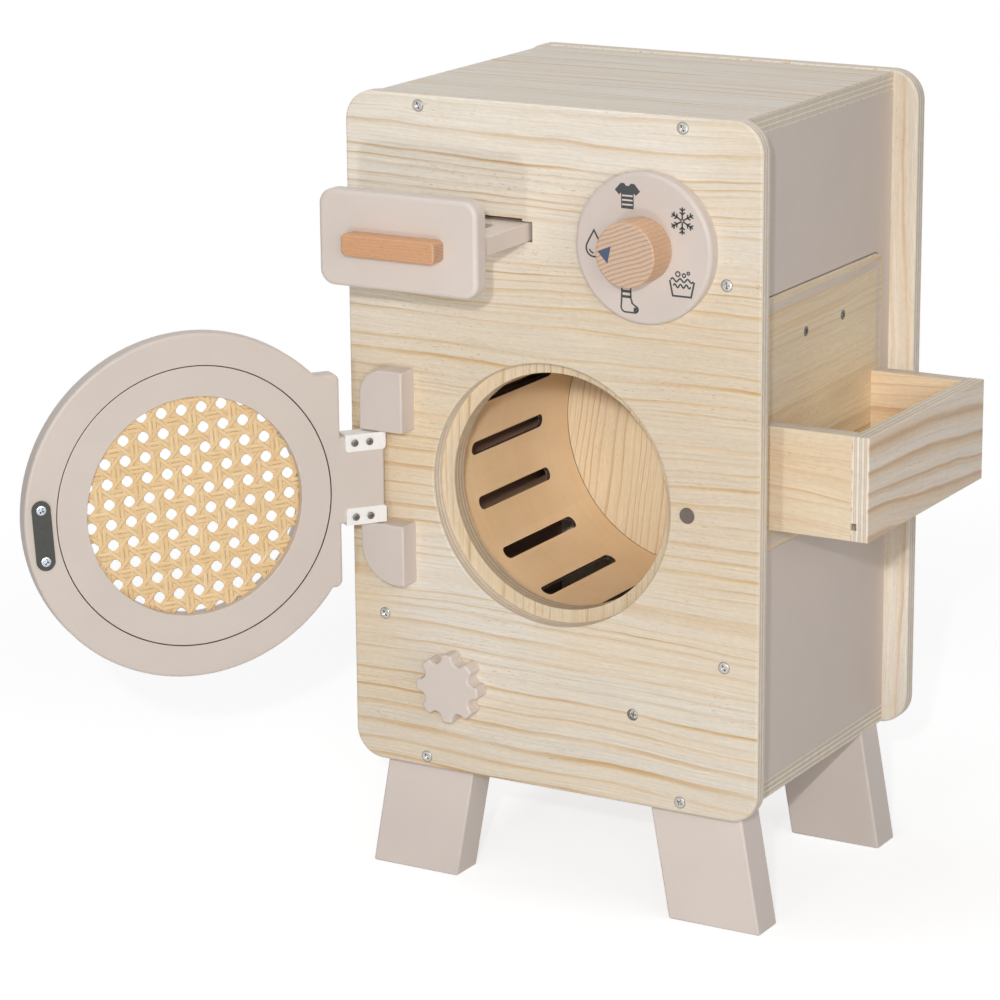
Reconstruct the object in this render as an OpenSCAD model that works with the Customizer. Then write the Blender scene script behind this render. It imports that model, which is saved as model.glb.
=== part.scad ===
// Toy washing machine: a plywood cabinet on four splayed legs, with a turning drum, a hinged
// round door with a cane window, a detergent drawer, a programme knob, a scalloped knob and
// an open tray on the right side.
// Millimetres, +Z up. The front faces -Y. The origin is on the floor, under the cabinet's centre.

/* [Cabinet] */
// Width of the front and back panels
panel_w = 300; // [290:1:320]
// Height of the front and back panels
panel_h = 452; // [446:1:480]
// Depth over both end panels
cabinet_d = 242; // [236:1:260]
// Thickness of the cabinet plywood
ply_t = 12; // [11:0.5:13]
// How far the end panels stand out past the sides
overhang = 18; // [14:1:22]
// Step from an end panel's edge to the top and bottom boards
board_step = 1; // [0.5:0.5:3]
// Corner radius of the end panels
panel_r = 20; // [8:1:26]

/* [Legs] */
// Height from the floor to the end panels' lower edge
leg_h = 80; // [60:1:100]
// Width of a leg
leg_w = 66; // [50:1:70]
// Thickness of a leg
leg_t = 26; // [20:1:30]
// How far a leg leans outwards from top to bottom
leg_splay = 14.5; // [0:0.5:20]

/* [Drum and opening] */
// Height of the opening's centre above the end panels' lower edge
opening_h = 199; // [195:1:203]
// Radius of the opening in the front panel
opening_r = 87; // [82:0.5:88]
// Inner radius of the ring behind the front panel
ring_in_r = 78.5; // [74:0.5:80]
// Outer radius of the ring behind the front panel
ring_out_r = 103; // [100:1:104]
// Inner radius of the drum
drum_r = 96; // [90:0.5:98]
// Wall of the bent-wood drum
drum_wall = 3; // [2:0.5:4]
// Number of slots round the drum
drum_slots = 16; // [8:1:18]
// Width of a drum slot
slot_w = 9; // [6:0.5:11]
// Length of a drum slot
slot_l = 96; // [60:1:110]

/* [Door] */
// How far the door stands open, in degrees
door_open = 127; // [0:1:175]
// Radius of the door
door_r = 114; // [110:0.5:116]
// Thickness of the door
door_t = 12; // [11:0.5:13]
// Radius of the cane window
window_r = 72.5; // [60:0.5:76]
// Radius of the ring that clamps the cane
clamp_r = 93; // [86:0.5:98]
// Height of the hinge's centre above the end panels' lower edge
hinge_h = 200; // [198:1:202]
// How far the disc's centre lies below the hinge's centre
door_drop = 6; // [0:1:8]
// Spacing of the holes in the cane webbing
cane_pitch = 13.45; // [12:0.05:16]
// Width across a hole in the cane webbing
cane_hole = 7.2; // [5:0.1:8]

/* [Detergent drawer] */
// How far the drawer is pulled out
drawer_out = 64.6; // [0:0.1:84]
// Width of the drawer front
drawer_w = 115; // [112:1:118]
// Height of the drawer front
drawer_front_h = 61.5; // [50:0.5:64]
// Length of the sliding board behind the drawer front
drawer_board_l = 112; // [108:1:116]

/* [Knobs] */
// Radius of the painted dial
dial_r = 48; // [40:1:52]
// Thickness of the painted dial
dial_t = 9; // [6:1:12]
// Radius of the programme knob
knob_r = 20.5; // [16:0.5:24]
// Height of the programme knob
knob_l = 23.2; // [18:0.1:28]
// Outer radius of the scalloped knob
gear_r = 23.4; // [20:0.2:26]
// Thickness of the scalloped knob
gear_t = 12; // [8:1:14]
// Number of lobes on the scalloped knob
gear_lobes = 8; // [6:1:10]

/* [Side tray] */
// Length of the side tray, front to back
tray_l = 180; // [150:1:184]
// How far the side tray stands out from its plate
tray_d = 76; // [60:1:90]
// Height of the side tray's walls
tray_h = 67.5; // [50:0.5:72]

/* [Hidden] */

$fn = 96;

// Colours
pine = "#E4D7C3";
paint = "#D3C8BF";
beech = "#D39A68";
veneer = "#D9B080";
cane = "#E0B875";
steel = "#B9BBBD";
white_steel = "#F2EFEC";
dark_steel = "#4A4A46";
nylon = "#E8E8E4";

// Main planes
front_y = -cabinet_d / 2;
back_y = cabinet_d / 2;
inner_front_y = front_y + ply_t;
inner_back_y = back_y - ply_t;
inner_d = cabinet_d - 2 * ply_t;
side_x = panel_w / 2 - overhang;
inner_x = side_x - ply_t;
board_w = 2 * side_x;
low_board_z = leg_h + board_step;
top_board_z = leg_h + panel_h - board_step - ply_t;
side_h = top_board_z - low_board_z - ply_t;
opening_z = leg_h + opening_h;
fit_gap = 0.08;
slide_gap = 0.3;
through = 1;

// Screws: [shank diameter, head diameter, length]
panel_screw = [3.5, 7.5, 32];
inner_screw = [3, 6, 16];
leg_screw = [4, 8, 40];
small_screw = [2.2, 4.4, 9];
plate_screw = [3, 6, 12];
handle_screw = [3, 6, 18];
end_screw_x = 95;
side_screw_dz = 123.5;
batten_sink = 1.5;

// Screw places on an end panel, as [x, height above its lower edge]
side_screw_x = side_x - ply_t / 2;
board_mid = board_step + ply_t / 2;
end_screws = concat(
    [for (sx = [-1, 1], h = [board_mid, panel_h - board_mid]) [sx * end_screw_x, h]],
    [for (sx = [-1, 1], sz = [-1, 1]) [sx * side_screw_x, panel_h / 2 + sz * side_screw_dz]]);

// Legs: a little gap in front of them and a wider one behind
leg_mid_x = side_x - leg_w / 2;
leg_y = [inner_front_y + 1 + leg_t / 2, inner_back_y - 7 - leg_t / 2];

// Drum
drum_front = ply_t * 2 + 5;
disc_t = 10;
disc_front = 197;
drum_back = disc_front + disc_t;
slot_front = 64.5;
slot_turn = 2.7;
hub_r = 24;
hub_t = 10;
axle_d = 8;
axle_head = [13, 5];
block_r = 30;
block_t = inner_d + ply_t - drum_back - hub_t - 1;
bush_d = 12;
washer_t = 1.2;
nut_t = 6;

// Knobs
dial_x = 72;
dial_h = 369;
gear_x = -72;
gear_h = 61;
spindle_d = 6;
spindle_head = [10, 4];
spindle_bore = spindle_d + 2 * fit_gap;
head_cover = 6;
spindle_tail = 2;
knob_gap = 0.4;
notch_r = 4.6;
notch_at = 22.7;
lobe_corner = 2.4;
// How far each lobe's corner round stands proud of the arcs it blends, so that they cross cleanly
lobe_blend = 0.02;
lobe_at = gear_r - lobe_corner + lobe_blend;
lobe_from_notch = notch_r + lobe_corner - lobe_blend;
lobe_turn = acos((notch_at ^ 2 + lobe_at ^ 2 - lobe_from_notch ^ 2) / (2 * notch_at * lobe_at));
batten_x = [-92, 76];
batten_h = 24;
batten_t = 12;
batten_screw_x = 60.5;
dial_bolt_y = front_y - dial_t - knob_gap - knob_l + head_cover;
dial_nut_y = inner_front_y + washer_t + knob_gap;
gear_cover = 2;
gear_bolt_y = front_y - knob_gap - gear_t + gear_cover;
gear_nut_y = inner_front_y + batten_t + washer_t + knob_gap;

// Door, as it stands when closed
door_gap = 3;
hinge_x = -126;
hinge_off = 9.5;
hinge_y = front_y - hinge_off;
hinge_z = leg_h + hinge_h;
pin_d = 4;
pin_in_block = 12;
pin_in_tab = 9;
block_w = 32.5;
block_left = -133.5;
block_d = 16;
block_h = 41;
block_gap = 62.5;
// Corner radii of the upper and the lower hinge block
block_corners = [17, 26];
tab_end = 4.3;
tab_h = 58.6;
ear_x = -99.75;
ear_h = 144;
ear_r = 5;
bracket_l = 28;
bracket_end = 4.8;
bracket_t = 1.2;
bracket_h = 11.5;
bracket_corner = 2.2;
bracket_screws_x = [-109, -119.3];
bracket_screw_dz = 25;
cane_t = 1.8;
cane_r = 90;
cane_turn = -3.9;
cane_shift = [1.5, -3.8];
clamp_t = 5;
clamp_gap = 0.5;
strike_x = 102;
strike_drop = 7.5;
strike_lean = 3.2;
strike_w = 12.2;
strike_l = 46;
strike_t = 1.5;
strike_pitch = 34;
door_in_y = front_y - door_gap;
door_out_y = door_in_y - door_t;
disc_z = hinge_z - door_drop;
cane_y = door_in_y - clamp_t - cane_t;
magnet_d = 10.5;
magnet_l = 6;
magnet_proud = 0.5;
magnet_x = 99.3;

// Drawer, as it stands when closed
drawer_x = -65;
drawer_h = 371.5;
drawer_r = 10;
board_wide = 102;
board_h = 364;
handle_l = 68;
handle_h = 14;
handle_d = 12;
handle_corner = 3.5;
pocket = [70, 44, 8];
pocket_from_front = 8;
pocket_r = 6;
peg_d = 8;
peg_up = 9;
peg_from_end = 9;
dowel_d = 6;
relief_x = [-111.5, -18.9];
relief_h = 378.5;
shelf_x = [-inner_x, -4];
shelf_l = 116;
drawer_front_y = front_y - slide_gap - ply_t;
drawer_back_y = front_y - slide_gap;
board_z = leg_h + board_h;
board_left = drawer_x - board_wide / 2;
board_right = drawer_x + board_wide / 2;
handle_y = drawer_front_y - handle_d;
handle_z = leg_h + drawer_h - 1.5;
dowel_l = 24;
runner_lip = 5;
lip_t = 5;

// Side tray
plate_l = 186;
plate_h = 165;
plate_t = 6;
plate_sink = 4;
plate_gap = 0.8;
plate_r = 9;
plate_low = 168.5;
tray_low = 188;
tray_wall = 12;
tray_base_t = 4.5;
groove_d = 4;
groove_low = 7;
plate_screw_y = [-23.5, 31.8];
plate_screw_h = [302.5, 214];
plate_face_x = side_x - plate_sink + plate_t;
plate_mid_h = plate_low + plate_h / 2;
tray_z = leg_h + tray_low;
tray_out_x = plate_face_x + tray_d;
tray_base_z = tray_z + groove_low;

// The frame's origin: on the floor, under the middle of the whole object with its door open
bolt_past_nut = 3;
door_far = door_r - hinge_x;
door_far_x = hinge_x + door_far * cos(door_open) + (door_out_y - hinge_y) * sin(door_open);
door_far_y = hinge_y - door_far * sin(door_open) + (door_in_y - hinge_y) * cos(door_open);
axle_end_y = back_y + washer_t + knob_gap + nut_t + bolt_past_nut;
frame_shift = [-round((door_far_x + tray_out_x) / 2), -round((door_far_y + axle_end_y) / 2), 0];

// ---------- Helpers ----------

// A rectangle with round corners, centred
module round_square(w, h, r) {
    square([w - 2 * r, h], center = true);
    square([w, h - 2 * r], center = true);
    for (sx = [-1, 1], sy = [-1, 1])
        translate([sx * (w / 2 - r), sy * (h / 2 - r)]) circle(r);
}

// Stands a flat outline up in the XZ plane, from y = 0 back to y = t
module upright(t) {
    rotate([90, 0, 0]) translate([0, 0, -t]) linear_extrude(t) children();
}

// A disc or bore along Y, from y = 0 back to y = l
module y_rod(d, l) {
    rotate([-90, 0, 0]) cylinder(d = d, h = l);
}

// A countersunk cross-head screw along +Z, its head's face at z = 0 and its tip below
module csk_screw(kind) {
    head_deep = (kind[1] - kind[0]) / 2;
    difference() {
        union() {
            translate([0, 0, -head_deep]) cylinder(d1 = kind[0], d2 = kind[1], h = head_deep);
            translate([0, 0, -kind[2] + kind[0]]) cylinder(d = kind[0], h = kind[2] - kind[0] - head_deep);
            translate([0, 0, -kind[2]]) cylinder(d1 = 0.6, d2 = kind[0], h = kind[0]);
        }
        for (a = [0, 90])
            rotate([0, 0, a])
                cube([kind[1] * 0.55, kind[1] * 0.13, head_deep * 1.2], center = true);
    }
}

// The hole that a countersunk screw sits in
module csk_hole(kind) {
    head_deep = (kind[1] - kind[0]) / 2;
    translate([0, 0, -head_deep]) cylinder(d1 = kind[0], d2 = kind[1], h = head_deep);
    translate([0, 0, -kind[2] - through]) cylinder(d = kind[0] + 2 * fit_gap, h = kind[2] + through);
    cylinder(d = kind[1], h = 2 * through);
}

// Turns a screw so that its head faces -Y or +Y
module head_to_front() { rotate([90, 0, 0]) children(); }
module head_to_back() { rotate([-90, 0, 0]) children(); }

// A hexagon nut or head along Y, from y = 0 back to y = t
module hexagon(across, t) {
    rotate([-90, 0, 0]) cylinder(d = across / cos(30), h = t, $fn = 6);
}

// ---------- Screw places, shared by the screws and their holes ----------

module at_front_screws() {
    for (p = end_screws) translate([p[0], front_y, leg_h + p[1]]) head_to_front() children();
    translate([batten_screw_x, front_y + batten_sink, leg_h + gear_h]) head_to_front() children();
}

module at_back_screws() {
    for (p = end_screws) translate([p[0], back_y, leg_h + p[1]]) head_to_back() children();
}

module at_leg_screws() {
    for (sx = [-1, 1], y = leg_y, dx = [-14, 14])
        translate([sx * leg_mid_x + dx, y, low_board_z + ply_t]) children();
}

module at_ring_screws() {
    for (a = [30:60:330])
        translate([0, inner_front_y + ply_t, opening_z]) rotate([0, a, 0])
            translate([(opening_r + ring_out_r) / 2, 0, 0]) head_to_back() children();
}

module at_dial_screws() {
    for (dx = [-28, 28])
        translate([dial_x + dx, inner_front_y, leg_h + dial_h]) head_to_back() children();
}

module at_block_screws() {
    for (s = [-1, 1], dz = [10, 31])
        translate([block_left + block_w - 7, inner_front_y, hinge_z + s * (block_gap / 2 + dz)])
            head_to_back() children();
}

module at_axle_block_screws() {
    for (a = [45:90:315])
        translate([0, inner_back_y - block_t, opening_z]) rotate([0, a, 0])
            translate([(block_r + bush_d / 2) / 2 + 1, 0, 0]) head_to_front() children();
}

module at_plate_screws() {
    for (y = plate_screw_y, h = plate_screw_h)
        translate([plate_face_x, y, leg_h + h]) rotate([0, 90, 0]) children();
}

module at_shelf_screws() {
    for (y = [-70, -20])
        translate([-side_x, y, leg_h + board_h - slide_gap - ply_t / 2]) rotate([0, -90, 0]) children();
}

// ---------- Cabinet ----------

module end_panel_blank() {
    translate([0, 0, leg_h + panel_h / 2]) upright(ply_t) round_square(panel_w, panel_h, panel_r);
}

module front_panel() {
    color(pine) difference() {
        translate([0, front_y, 0]) end_panel_blank();
        translate([0, front_y - through, opening_z]) y_rod(2 * opening_r, ply_t + 2 * through);
        translate([dial_x, front_y - through, leg_h + dial_h]) y_rod(spindle_bore, ply_t + 2 * through);
        translate([gear_x, front_y - through, leg_h + gear_h]) y_rod(spindle_bore, ply_t + 2 * through);
        translate([magnet_x, front_y - magnet_proud, opening_z]) y_rod(magnet_d, magnet_l);
        drawer_slot();
        at_front_screws() csk_hole(panel_screw);
        at_ring_screws() csk_hole(inner_screw);
        at_dial_screws() csk_hole(inner_screw);
        at_block_screws() csk_hole(inner_screw);
    }
}

// The slot that the drawer's board slides through, with its shallow relief above the board
module drawer_slot() {
    slot_wide = board_wide + 5;
    translate([drawer_x - slot_wide / 2, front_y - through, leg_h + board_h - slide_gap])
        cube([slot_wide, ply_t + 2 * through, ply_t + 2 * slide_gap + 0.6]);
    translate([relief_x[0], front_y - through, leg_h + board_h])
        cube([relief_x[1] - relief_x[0], ply_t + 2 * through, relief_h - board_h]);
}

module back_panel() {
    color(pine) difference() {
        translate([0, inner_back_y, 0]) end_panel_blank();
        translate([0, inner_back_y - through, opening_z]) y_rod(bush_d, ply_t + 2 * through);
        at_back_screws() csk_hole(panel_screw);
        at_axle_block_screws() csk_hole(inner_screw);
    }
}

module board(z) {
    translate([-side_x, inner_front_y, z]) cube([board_w, inner_d, ply_t]);
}

module top_panel() {
    color(pine) difference() {
        board(top_board_z);
        at_front_screws() csk_hole(panel_screw);
        at_back_screws() csk_hole(panel_screw);
    }
}

module bottom_panel() {
    color(pine) difference() {
        board(low_board_z);
        at_front_screws() csk_hole(panel_screw);
        at_back_screws() csk_hole(panel_screw);
        at_leg_screws() csk_hole(leg_screw);
    }
}

module side_blank(x) {
    translate([x, inner_front_y, low_board_z + ply_t]) cube([ply_t, inner_d, side_h]);
}

module left_side_panel() {
    color(paint) difference() {
        side_blank(-side_x);
        at_front_screws() csk_hole(panel_screw);
        at_back_screws() csk_hole(panel_screw);
        at_shelf_screws() csk_hole(panel_screw);
    }
}

// A round-cornered slab that faces +X, from x = 0 out to x = t
module side_slab(l, h, r, t) {
    rotate([90, 0, 90]) linear_extrude(t) round_square(l, h, r);
}

module right_side_panel() {
    color(paint) difference() {
        side_blank(inner_x);
        translate([side_x - plate_sink, 0, leg_h + plate_mid_h])
            side_slab(plate_l + 2 * plate_gap, plate_h + 2 * plate_gap, plate_r + plate_gap, plate_t);
        at_front_screws() csk_hole(panel_screw);
        at_back_screws() csk_hole(panel_screw);
        at_plate_screws() csk_hole(plate_screw);
    }
}

module opening_ring() {
    color(pine) difference() {
        translate([0, inner_front_y, opening_z]) y_rod(2 * ring_out_r, ply_t);
        translate([0, inner_front_y - through, opening_z]) y_rod(2 * ring_in_r, ply_t + 2 * through);
        at_ring_screws() csk_hole(inner_screw);
    }
}

module front_batten() {
    color(pine) difference() {
        translate([batten_x[0], inner_front_y, leg_h + gear_h - batten_h / 2])
            cube([batten_x[1] - batten_x[0], batten_t, batten_h]);
        translate([gear_x, inner_front_y - through, leg_h + gear_h])
            y_rod(spindle_bore, batten_t + 2 * through);
        at_front_screws() csk_hole(panel_screw);
    }
}

// A leg leans outwards; sx picks the side and y its middle
module leg(sx, y) {
    top_in = side_x - leg_w;
    color(paint) difference() {
        translate([0, y - leg_t / 2, 0]) upright(leg_t)
            polygon([for (p = [[top_in + leg_splay, 0], [side_x + leg_splay, 0],
                [side_x, low_board_z], [top_in, low_board_z]]) [sx * p[0], p[1]]]);
        at_leg_screws() csk_hole(leg_screw);
    }
}

module leg_front_left() { leg(-1, leg_y[0]); }
module leg_front_right() { leg(1, leg_y[0]); }
module leg_back_left() { leg(-1, leg_y[1]); }
module leg_back_right() { leg(1, leg_y[1]); }

module leg_screws() { color(steel) at_leg_screws() csk_screw(leg_screw); }
module front_screws() { color(steel) at_front_screws() csk_screw(panel_screw); }
module back_screws() { color(steel) at_back_screws() csk_screw(panel_screw); }
module shelf_screws() { color(steel) at_shelf_screws() csk_screw(panel_screw); }

module inner_screws() {
    color(steel) {
        at_ring_screws() csk_screw(inner_screw);
        at_dial_screws() csk_screw(inner_screw);
        at_block_screws() csk_screw(inner_screw);
        at_axle_block_screws() csk_screw(inner_screw);
    }
}

module door_magnet() {
    color(dark_steel) translate([magnet_x, front_y - magnet_proud, opening_z]) y_rod(magnet_d, magnet_l);
}

// ---------- Hinge blocks and pins ----------

// s is 1 above the door's tab and -1 below it; the far outer corner is round
module hinge_block(s) {
    low = block_gap / 2;
    corner = s > 0 ? block_corners[0] : block_corners[1];
    color(paint) difference() {
        translate([0, front_y - block_d, hinge_z]) upright(block_d) scale_z(s) block_outline(low, corner);
        at_pins() cylinder(d = pin_d, h = 2 * pin_in_block, center = true);
        at_block_screws() csk_hole(inner_screw);
    }
}

module block_outline(low, corner) {
    intersection() {
        translate([block_left, low]) square([block_w, block_h]);
        union() {
            translate([block_left, low]) square([block_w, block_h - corner]);
            translate([block_left + corner, low]) square([block_w, block_h]);
            translate([block_left + corner, low + block_h - corner]) circle(corner);
        }
    }
}

module scale_z(s) { mirror([0, s < 0 ? 1 : 0]) children(); }

// The two faces of the hinge blocks that look at the door's tab
module at_pins() {
    for (s = [-1, 1]) translate([hinge_x, hinge_y, hinge_z + s * block_gap / 2]) children();
}

module hinge_block_upper() { hinge_block(1); }
module hinge_block_lower() { hinge_block(-1); }

module hinge_pins() {
    pin_l = pin_in_block + pin_in_tab + (block_gap - tab_h) / 2;
    color(steel) for (s = [-1, 1])
        translate([hinge_x, hinge_y, hinge_z + s * (block_gap / 2 + pin_in_block - pin_l / 2)])
            cylinder(d = pin_d, h = pin_l, center = true);
}

// ---------- Door ----------

// Swings a piece that is drawn closed to where the door stands
module swung() {
    translate([hinge_x, hinge_y, 0]) rotate([0, 0, -door_open])
        translate([-hinge_x, -hinge_y, 0]) children();
}

// A disc cut straight beside the hinge blocks, with two ears and the hinge's tab
module door_outline() {
    intersection() {
        translate([0, -door_drop]) circle(door_r);
        translate([ear_x, -door_r - door_drop]) square(2 * door_r);
    }
    translate([ear_x / 2, 0]) round_square(-ear_x, ear_h, ear_r);
    translate([hinge_x - tab_end, -tab_h / 2]) square([-ear_x / 2, tab_h]);
}

module at_bracket_screws() {
    for (x = bracket_screws_x, s = [-1, 1])
        translate([x, door_in_y + bracket_t, hinge_z + s * bracket_screw_dz]) head_to_back() children();
}

module at_strike_screws() {
    translate([strike_x, door_in_y + strike_t, disc_z - strike_drop]) rotate([0, strike_lean, 0])
        for (s = [-1, 1]) translate([0, 0, s * strike_pitch / 2]) head_to_back() children();
}

module door_ring() {
    color(paint) swung() difference() {
        translate([0, door_out_y, hinge_z]) upright(door_t) door_outline();
        translate([0, door_out_y - through, disc_z]) y_rod(2 * window_r, door_t + 2 * through);
        translate([0, cane_y, disc_z]) y_rod(2 * clamp_r, door_t);
        for (s = [-1, 1])
            translate([hinge_x, hinge_y, hinge_z + s * tab_h / 2])
                cylinder(d = pin_d + 2 * fit_gap, h = 2 * (pin_in_tab + through), center = true);
        at_bracket_screws() cylinder(d = small_screw[0], h = 2 * small_screw[2], center = true);
        at_strike_screws() csk_hole(small_screw);
    }
}

module door_clamp_ring() {
    color(paint) swung() translate([0, door_in_y - clamp_t, disc_z]) difference() {
        y_rod(2 * (clamp_r - clamp_gap), clamp_t);
        translate([0, -through, 0]) y_rod(2 * window_r, clamp_t + 2 * through);
    }
}

module cane_webbing() {
    count = floor(window_r / cane_pitch) + 1;
    color(cane) swung() translate([0, cane_y, disc_z]) upright(cane_t) difference() {
        circle(cane_r);
        translate(cane_shift) rotate(cane_turn) for (i = [-count:count], j = [-count:count])
            if (norm([i, j]) * cane_pitch < window_r - cane_pitch / 2)
                translate([i * cane_pitch, j * cane_pitch]) rotate(22.5) circle(d = cane_hole, $fn = 8);
    }
}

// An L of sheet metal on the door's tab; s is 1 on its upper edge and -1 on its lower
// The leaf of a bracket, square where it bends and rounded at its two free corners
module bracket_leaf() {
    r = bracket_corner;
    translate([0, r]) square([bracket_l, bracket_h - r]);
    translate([r, 0]) square([bracket_l - 2 * r, bracket_h]);
    for (x = [r, bracket_l - r]) translate([x, r]) circle(r);
}

module hinge_bracket(s) {
    left = hinge_x - bracket_end;
    color(white_steel) swung() difference() {
        translate([left, 0, hinge_z]) mirror([0, 0, s < 0 ? 1 : 0]) union() {
            translate([0, door_in_y, tab_h / 2 + bracket_t - bracket_h]) upright(bracket_t) bracket_leaf();
            translate([0, door_out_y, tab_h / 2]) cube([bracket_l, door_t + bracket_t, bracket_t]);
        }
        translate([hinge_x, hinge_y, hinge_z])
            cylinder(d = pin_d + 2 * fit_gap, h = 2 * block_gap, center = true);
        at_bracket_screws() cylinder(d = small_screw[0], h = 2 * small_screw[2], center = true);
    }
}

module hinge_bracket_upper() { hinge_bracket(1); }
module hinge_bracket_lower() { hinge_bracket(-1); }

// Small pan-head screws that hold the brackets
module bracket_screws() {
    color(dark_steel) swung() at_bracket_screws() difference() {
        union() {
            cylinder(d = small_screw[1], h = bracket_t);
            translate([0, 0, -small_screw[2]]) cylinder(d = small_screw[0], h = small_screw[2]);
        }
        translate([0, 0, bracket_t]) for (a = [0, 90])
            rotate([0, 0, a]) cube([small_screw[1] * 0.6, 0.5, 1], center = true);
    }
}

module strike_plate() {
    color(dark_steel) swung() difference() {
        translate([strike_x, door_in_y, disc_z - strike_drop]) rotate([0, strike_lean, 0])
            upright(strike_t) round_square(strike_w, strike_l, strike_w / 2 - 0.01);
        at_strike_screws() csk_hole(small_screw);
    }
}

module strike_screws() { color(steel) swung() at_strike_screws() csk_screw(small_screw); }

// ---------- Detergent drawer ----------

// Slides a piece that is drawn closed to where the drawer stands
module pulled() { translate([0, -drawer_out, 0]) children(); }

module at_dowels() {
    for (dx = [-30, 30])
        translate([drawer_x + dx, drawer_front_y + 3, board_z + ply_t / 2]) children();
}

module at_handle_screws() {
    for (dx = [-20, 20])
        translate([drawer_x + dx, drawer_back_y, handle_z]) head_to_back() children();
}

module drawer_front() {
    color(paint) pulled() difference() {
        translate([drawer_x, drawer_front_y, leg_h + drawer_h]) upright(ply_t)
            round_square(drawer_w, drawer_front_h, drawer_r);
        at_dowels() y_rod(dowel_d, ply_t);
        at_handle_screws() csk_hole(handle_screw);
    }
}

module drawer_handle() {
    color(beech) pulled() difference() {
        translate([drawer_x, handle_y, handle_z]) upright(handle_d)
            round_square(handle_l, handle_h, handle_corner);
        at_handle_screws() csk_hole(handle_screw);
    }
}

module drawer_board() {
    pocket_y = drawer_back_y + pocket_from_front + pocket[1] / 2;
    color(paint) pulled() difference() {
        translate([drawer_x - board_wide / 2, drawer_back_y, board_z])
            cube([board_wide, drawer_board_l, ply_t]);
        translate([drawer_x, pocket_y, board_z + ply_t - pocket[2]])
            linear_extrude(pocket[2] + through) round_square(pocket[0], pocket[1], pocket_r);
        at_dowels() y_rod(dowel_d, dowel_l);
        at_peg() cylinder(d = peg_d, h = 2 * ply_t, center = true);
    }
}

module at_peg() {
    translate([drawer_x, drawer_back_y + drawer_board_l - peg_from_end, board_z + ply_t]) children();
}

module drawer_dowels() { color(beech) pulled() at_dowels() y_rod(dowel_d, dowel_l); }
module handle_screws() { color(steel) pulled() at_handle_screws() csk_screw(handle_screw); }

module drawer_stop_peg() {
    color(beech) pulled() at_peg() translate([0, 0, -ply_t]) cylinder(d = peg_d, h = ply_t + peg_up);
}

module drawer_shelf() {
    color(pine) difference() {
        translate([shelf_x[0], inner_front_y, board_z - slide_gap - ply_t])
            cube([shelf_x[1] - shelf_x[0], shelf_l, ply_t]);
        at_shelf_screws() csk_hole(panel_screw);
    }
}

// A rail beside the board with a lip over its edge; x runs from its wall to its lip
module runner(wall_x, guide_x, lip_x) {
    base = board_z - slide_gap;
    high = ply_t + 2 * slide_gap;
    color(beech) translate([0, inner_front_y, 0]) upright(shelf_l)
        polygon([[wall_x, base], [guide_x, base], [guide_x, base + high],
            [lip_x, base + high], [lip_x, base + high + lip_t], [wall_x, base + high + lip_t]]);
}

module drawer_runner_left() {
    runner(-inner_x, board_left - slide_gap, board_left + runner_lip);
}

module drawer_runner_right() {
    runner(shelf_x[1], board_right + slide_gap, board_right - runner_lip);
}

// ---------- Knobs ----------

module dial_disc() {
    color(paint) difference() {
        translate([dial_x, front_y - dial_t, leg_h + dial_h]) y_rod(2 * dial_r, dial_t);
        translate([dial_x, front_y - dial_t - through, leg_h + dial_h])
            y_rod(spindle_bore, dial_t + 2 * through);
        at_dial_screws() csk_hole(inner_screw);
    }
}

// A bolt along Y, its head's front at y = 0; reach is its whole length
module spindle(reach) {
    y_rod(spindle_d, reach);
    hexagon(spindle_head[0], spindle_head[1]);
}

module dial_knob() {
    back = front_y - dial_t - knob_gap;
    color(beech) translate([dial_x, back - knob_l, leg_h + dial_h]) difference() {
        y_rod(2 * knob_r, knob_l);
        translate([0, head_cover, 0]) spindle(knob_l);
    }
}

module dial_bolt() {
    color(steel) translate([dial_x, dial_bolt_y, leg_h + dial_h])
        spindle(dial_nut_y + nut_t + spindle_tail - dial_bolt_y);
}

// A hexagon nut with its bolt's bore
module nut(across, d, t) {
    difference() {
        hexagon(across, t);
        translate([0, -through, 0]) y_rod(d, t + 2 * through);
    }
}

module dial_nut() {
    color(steel) translate([dial_x, dial_nut_y, leg_h + dial_h]) nut(spindle_head[0], spindle_d, nut_t);
}

// What is cut from the corner of a lobe beside the notch on +X, on the side s of it
module lobe_corner_cut(s) {
    middle = lobe_at * [cos(lobe_turn), s * sin(lobe_turn)];
    outwards = 2 * lobe_corner * middle / lobe_at;
    to_notch = 2 * lobe_corner * ([notch_at, 0] - middle) / lobe_from_notch;
    difference() {
        polygon([middle, middle + outwards, middle + outwards + to_notch, middle + to_notch]);
        translate(middle) circle(lobe_corner);
    }
}

module gear_knob() {
    color(paint) translate([gear_x, front_y - knob_gap - gear_t, leg_h + gear_h]) difference() {
        y_rod(2 * gear_r, gear_t);
        for (i = [0:gear_lobes - 1])
            rotate([0, (i + 0.5) * 360 / gear_lobes, 0]) translate([0, -through, 0]) {
                translate([notch_at, 0, 0]) y_rod(2 * notch_r, gear_t + 2 * through);
                for (s = [-1, 1]) upright(gear_t + 2 * through) lobe_corner_cut(s);
            }
        translate([0, gear_cover, 0]) spindle(gear_t);
    }
}

module gear_bolt() {
    color(steel) translate([gear_x, gear_bolt_y, leg_h + gear_h])
        spindle(gear_nut_y + nut_t + spindle_tail - gear_bolt_y);
}

module gear_nut() {
    color(steel) translate([gear_x, gear_nut_y, leg_h + gear_h]) nut(spindle_head[0], spindle_d, nut_t);
}

module washer(d_out, d_in) {
    difference() {
        y_rod(d_out, washer_t);
        translate([0, -through, 0]) y_rod(d_in, washer_t + 2 * through);
    }
}

module spindle_washers() {
    color(steel) {
        translate([dial_x, inner_front_y, leg_h + dial_h]) washer(14, spindle_bore);
        translate([gear_x, inner_front_y + batten_t, leg_h + gear_h]) washer(14, spindle_bore);
    }
}

// ---------- Drum ----------

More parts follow.
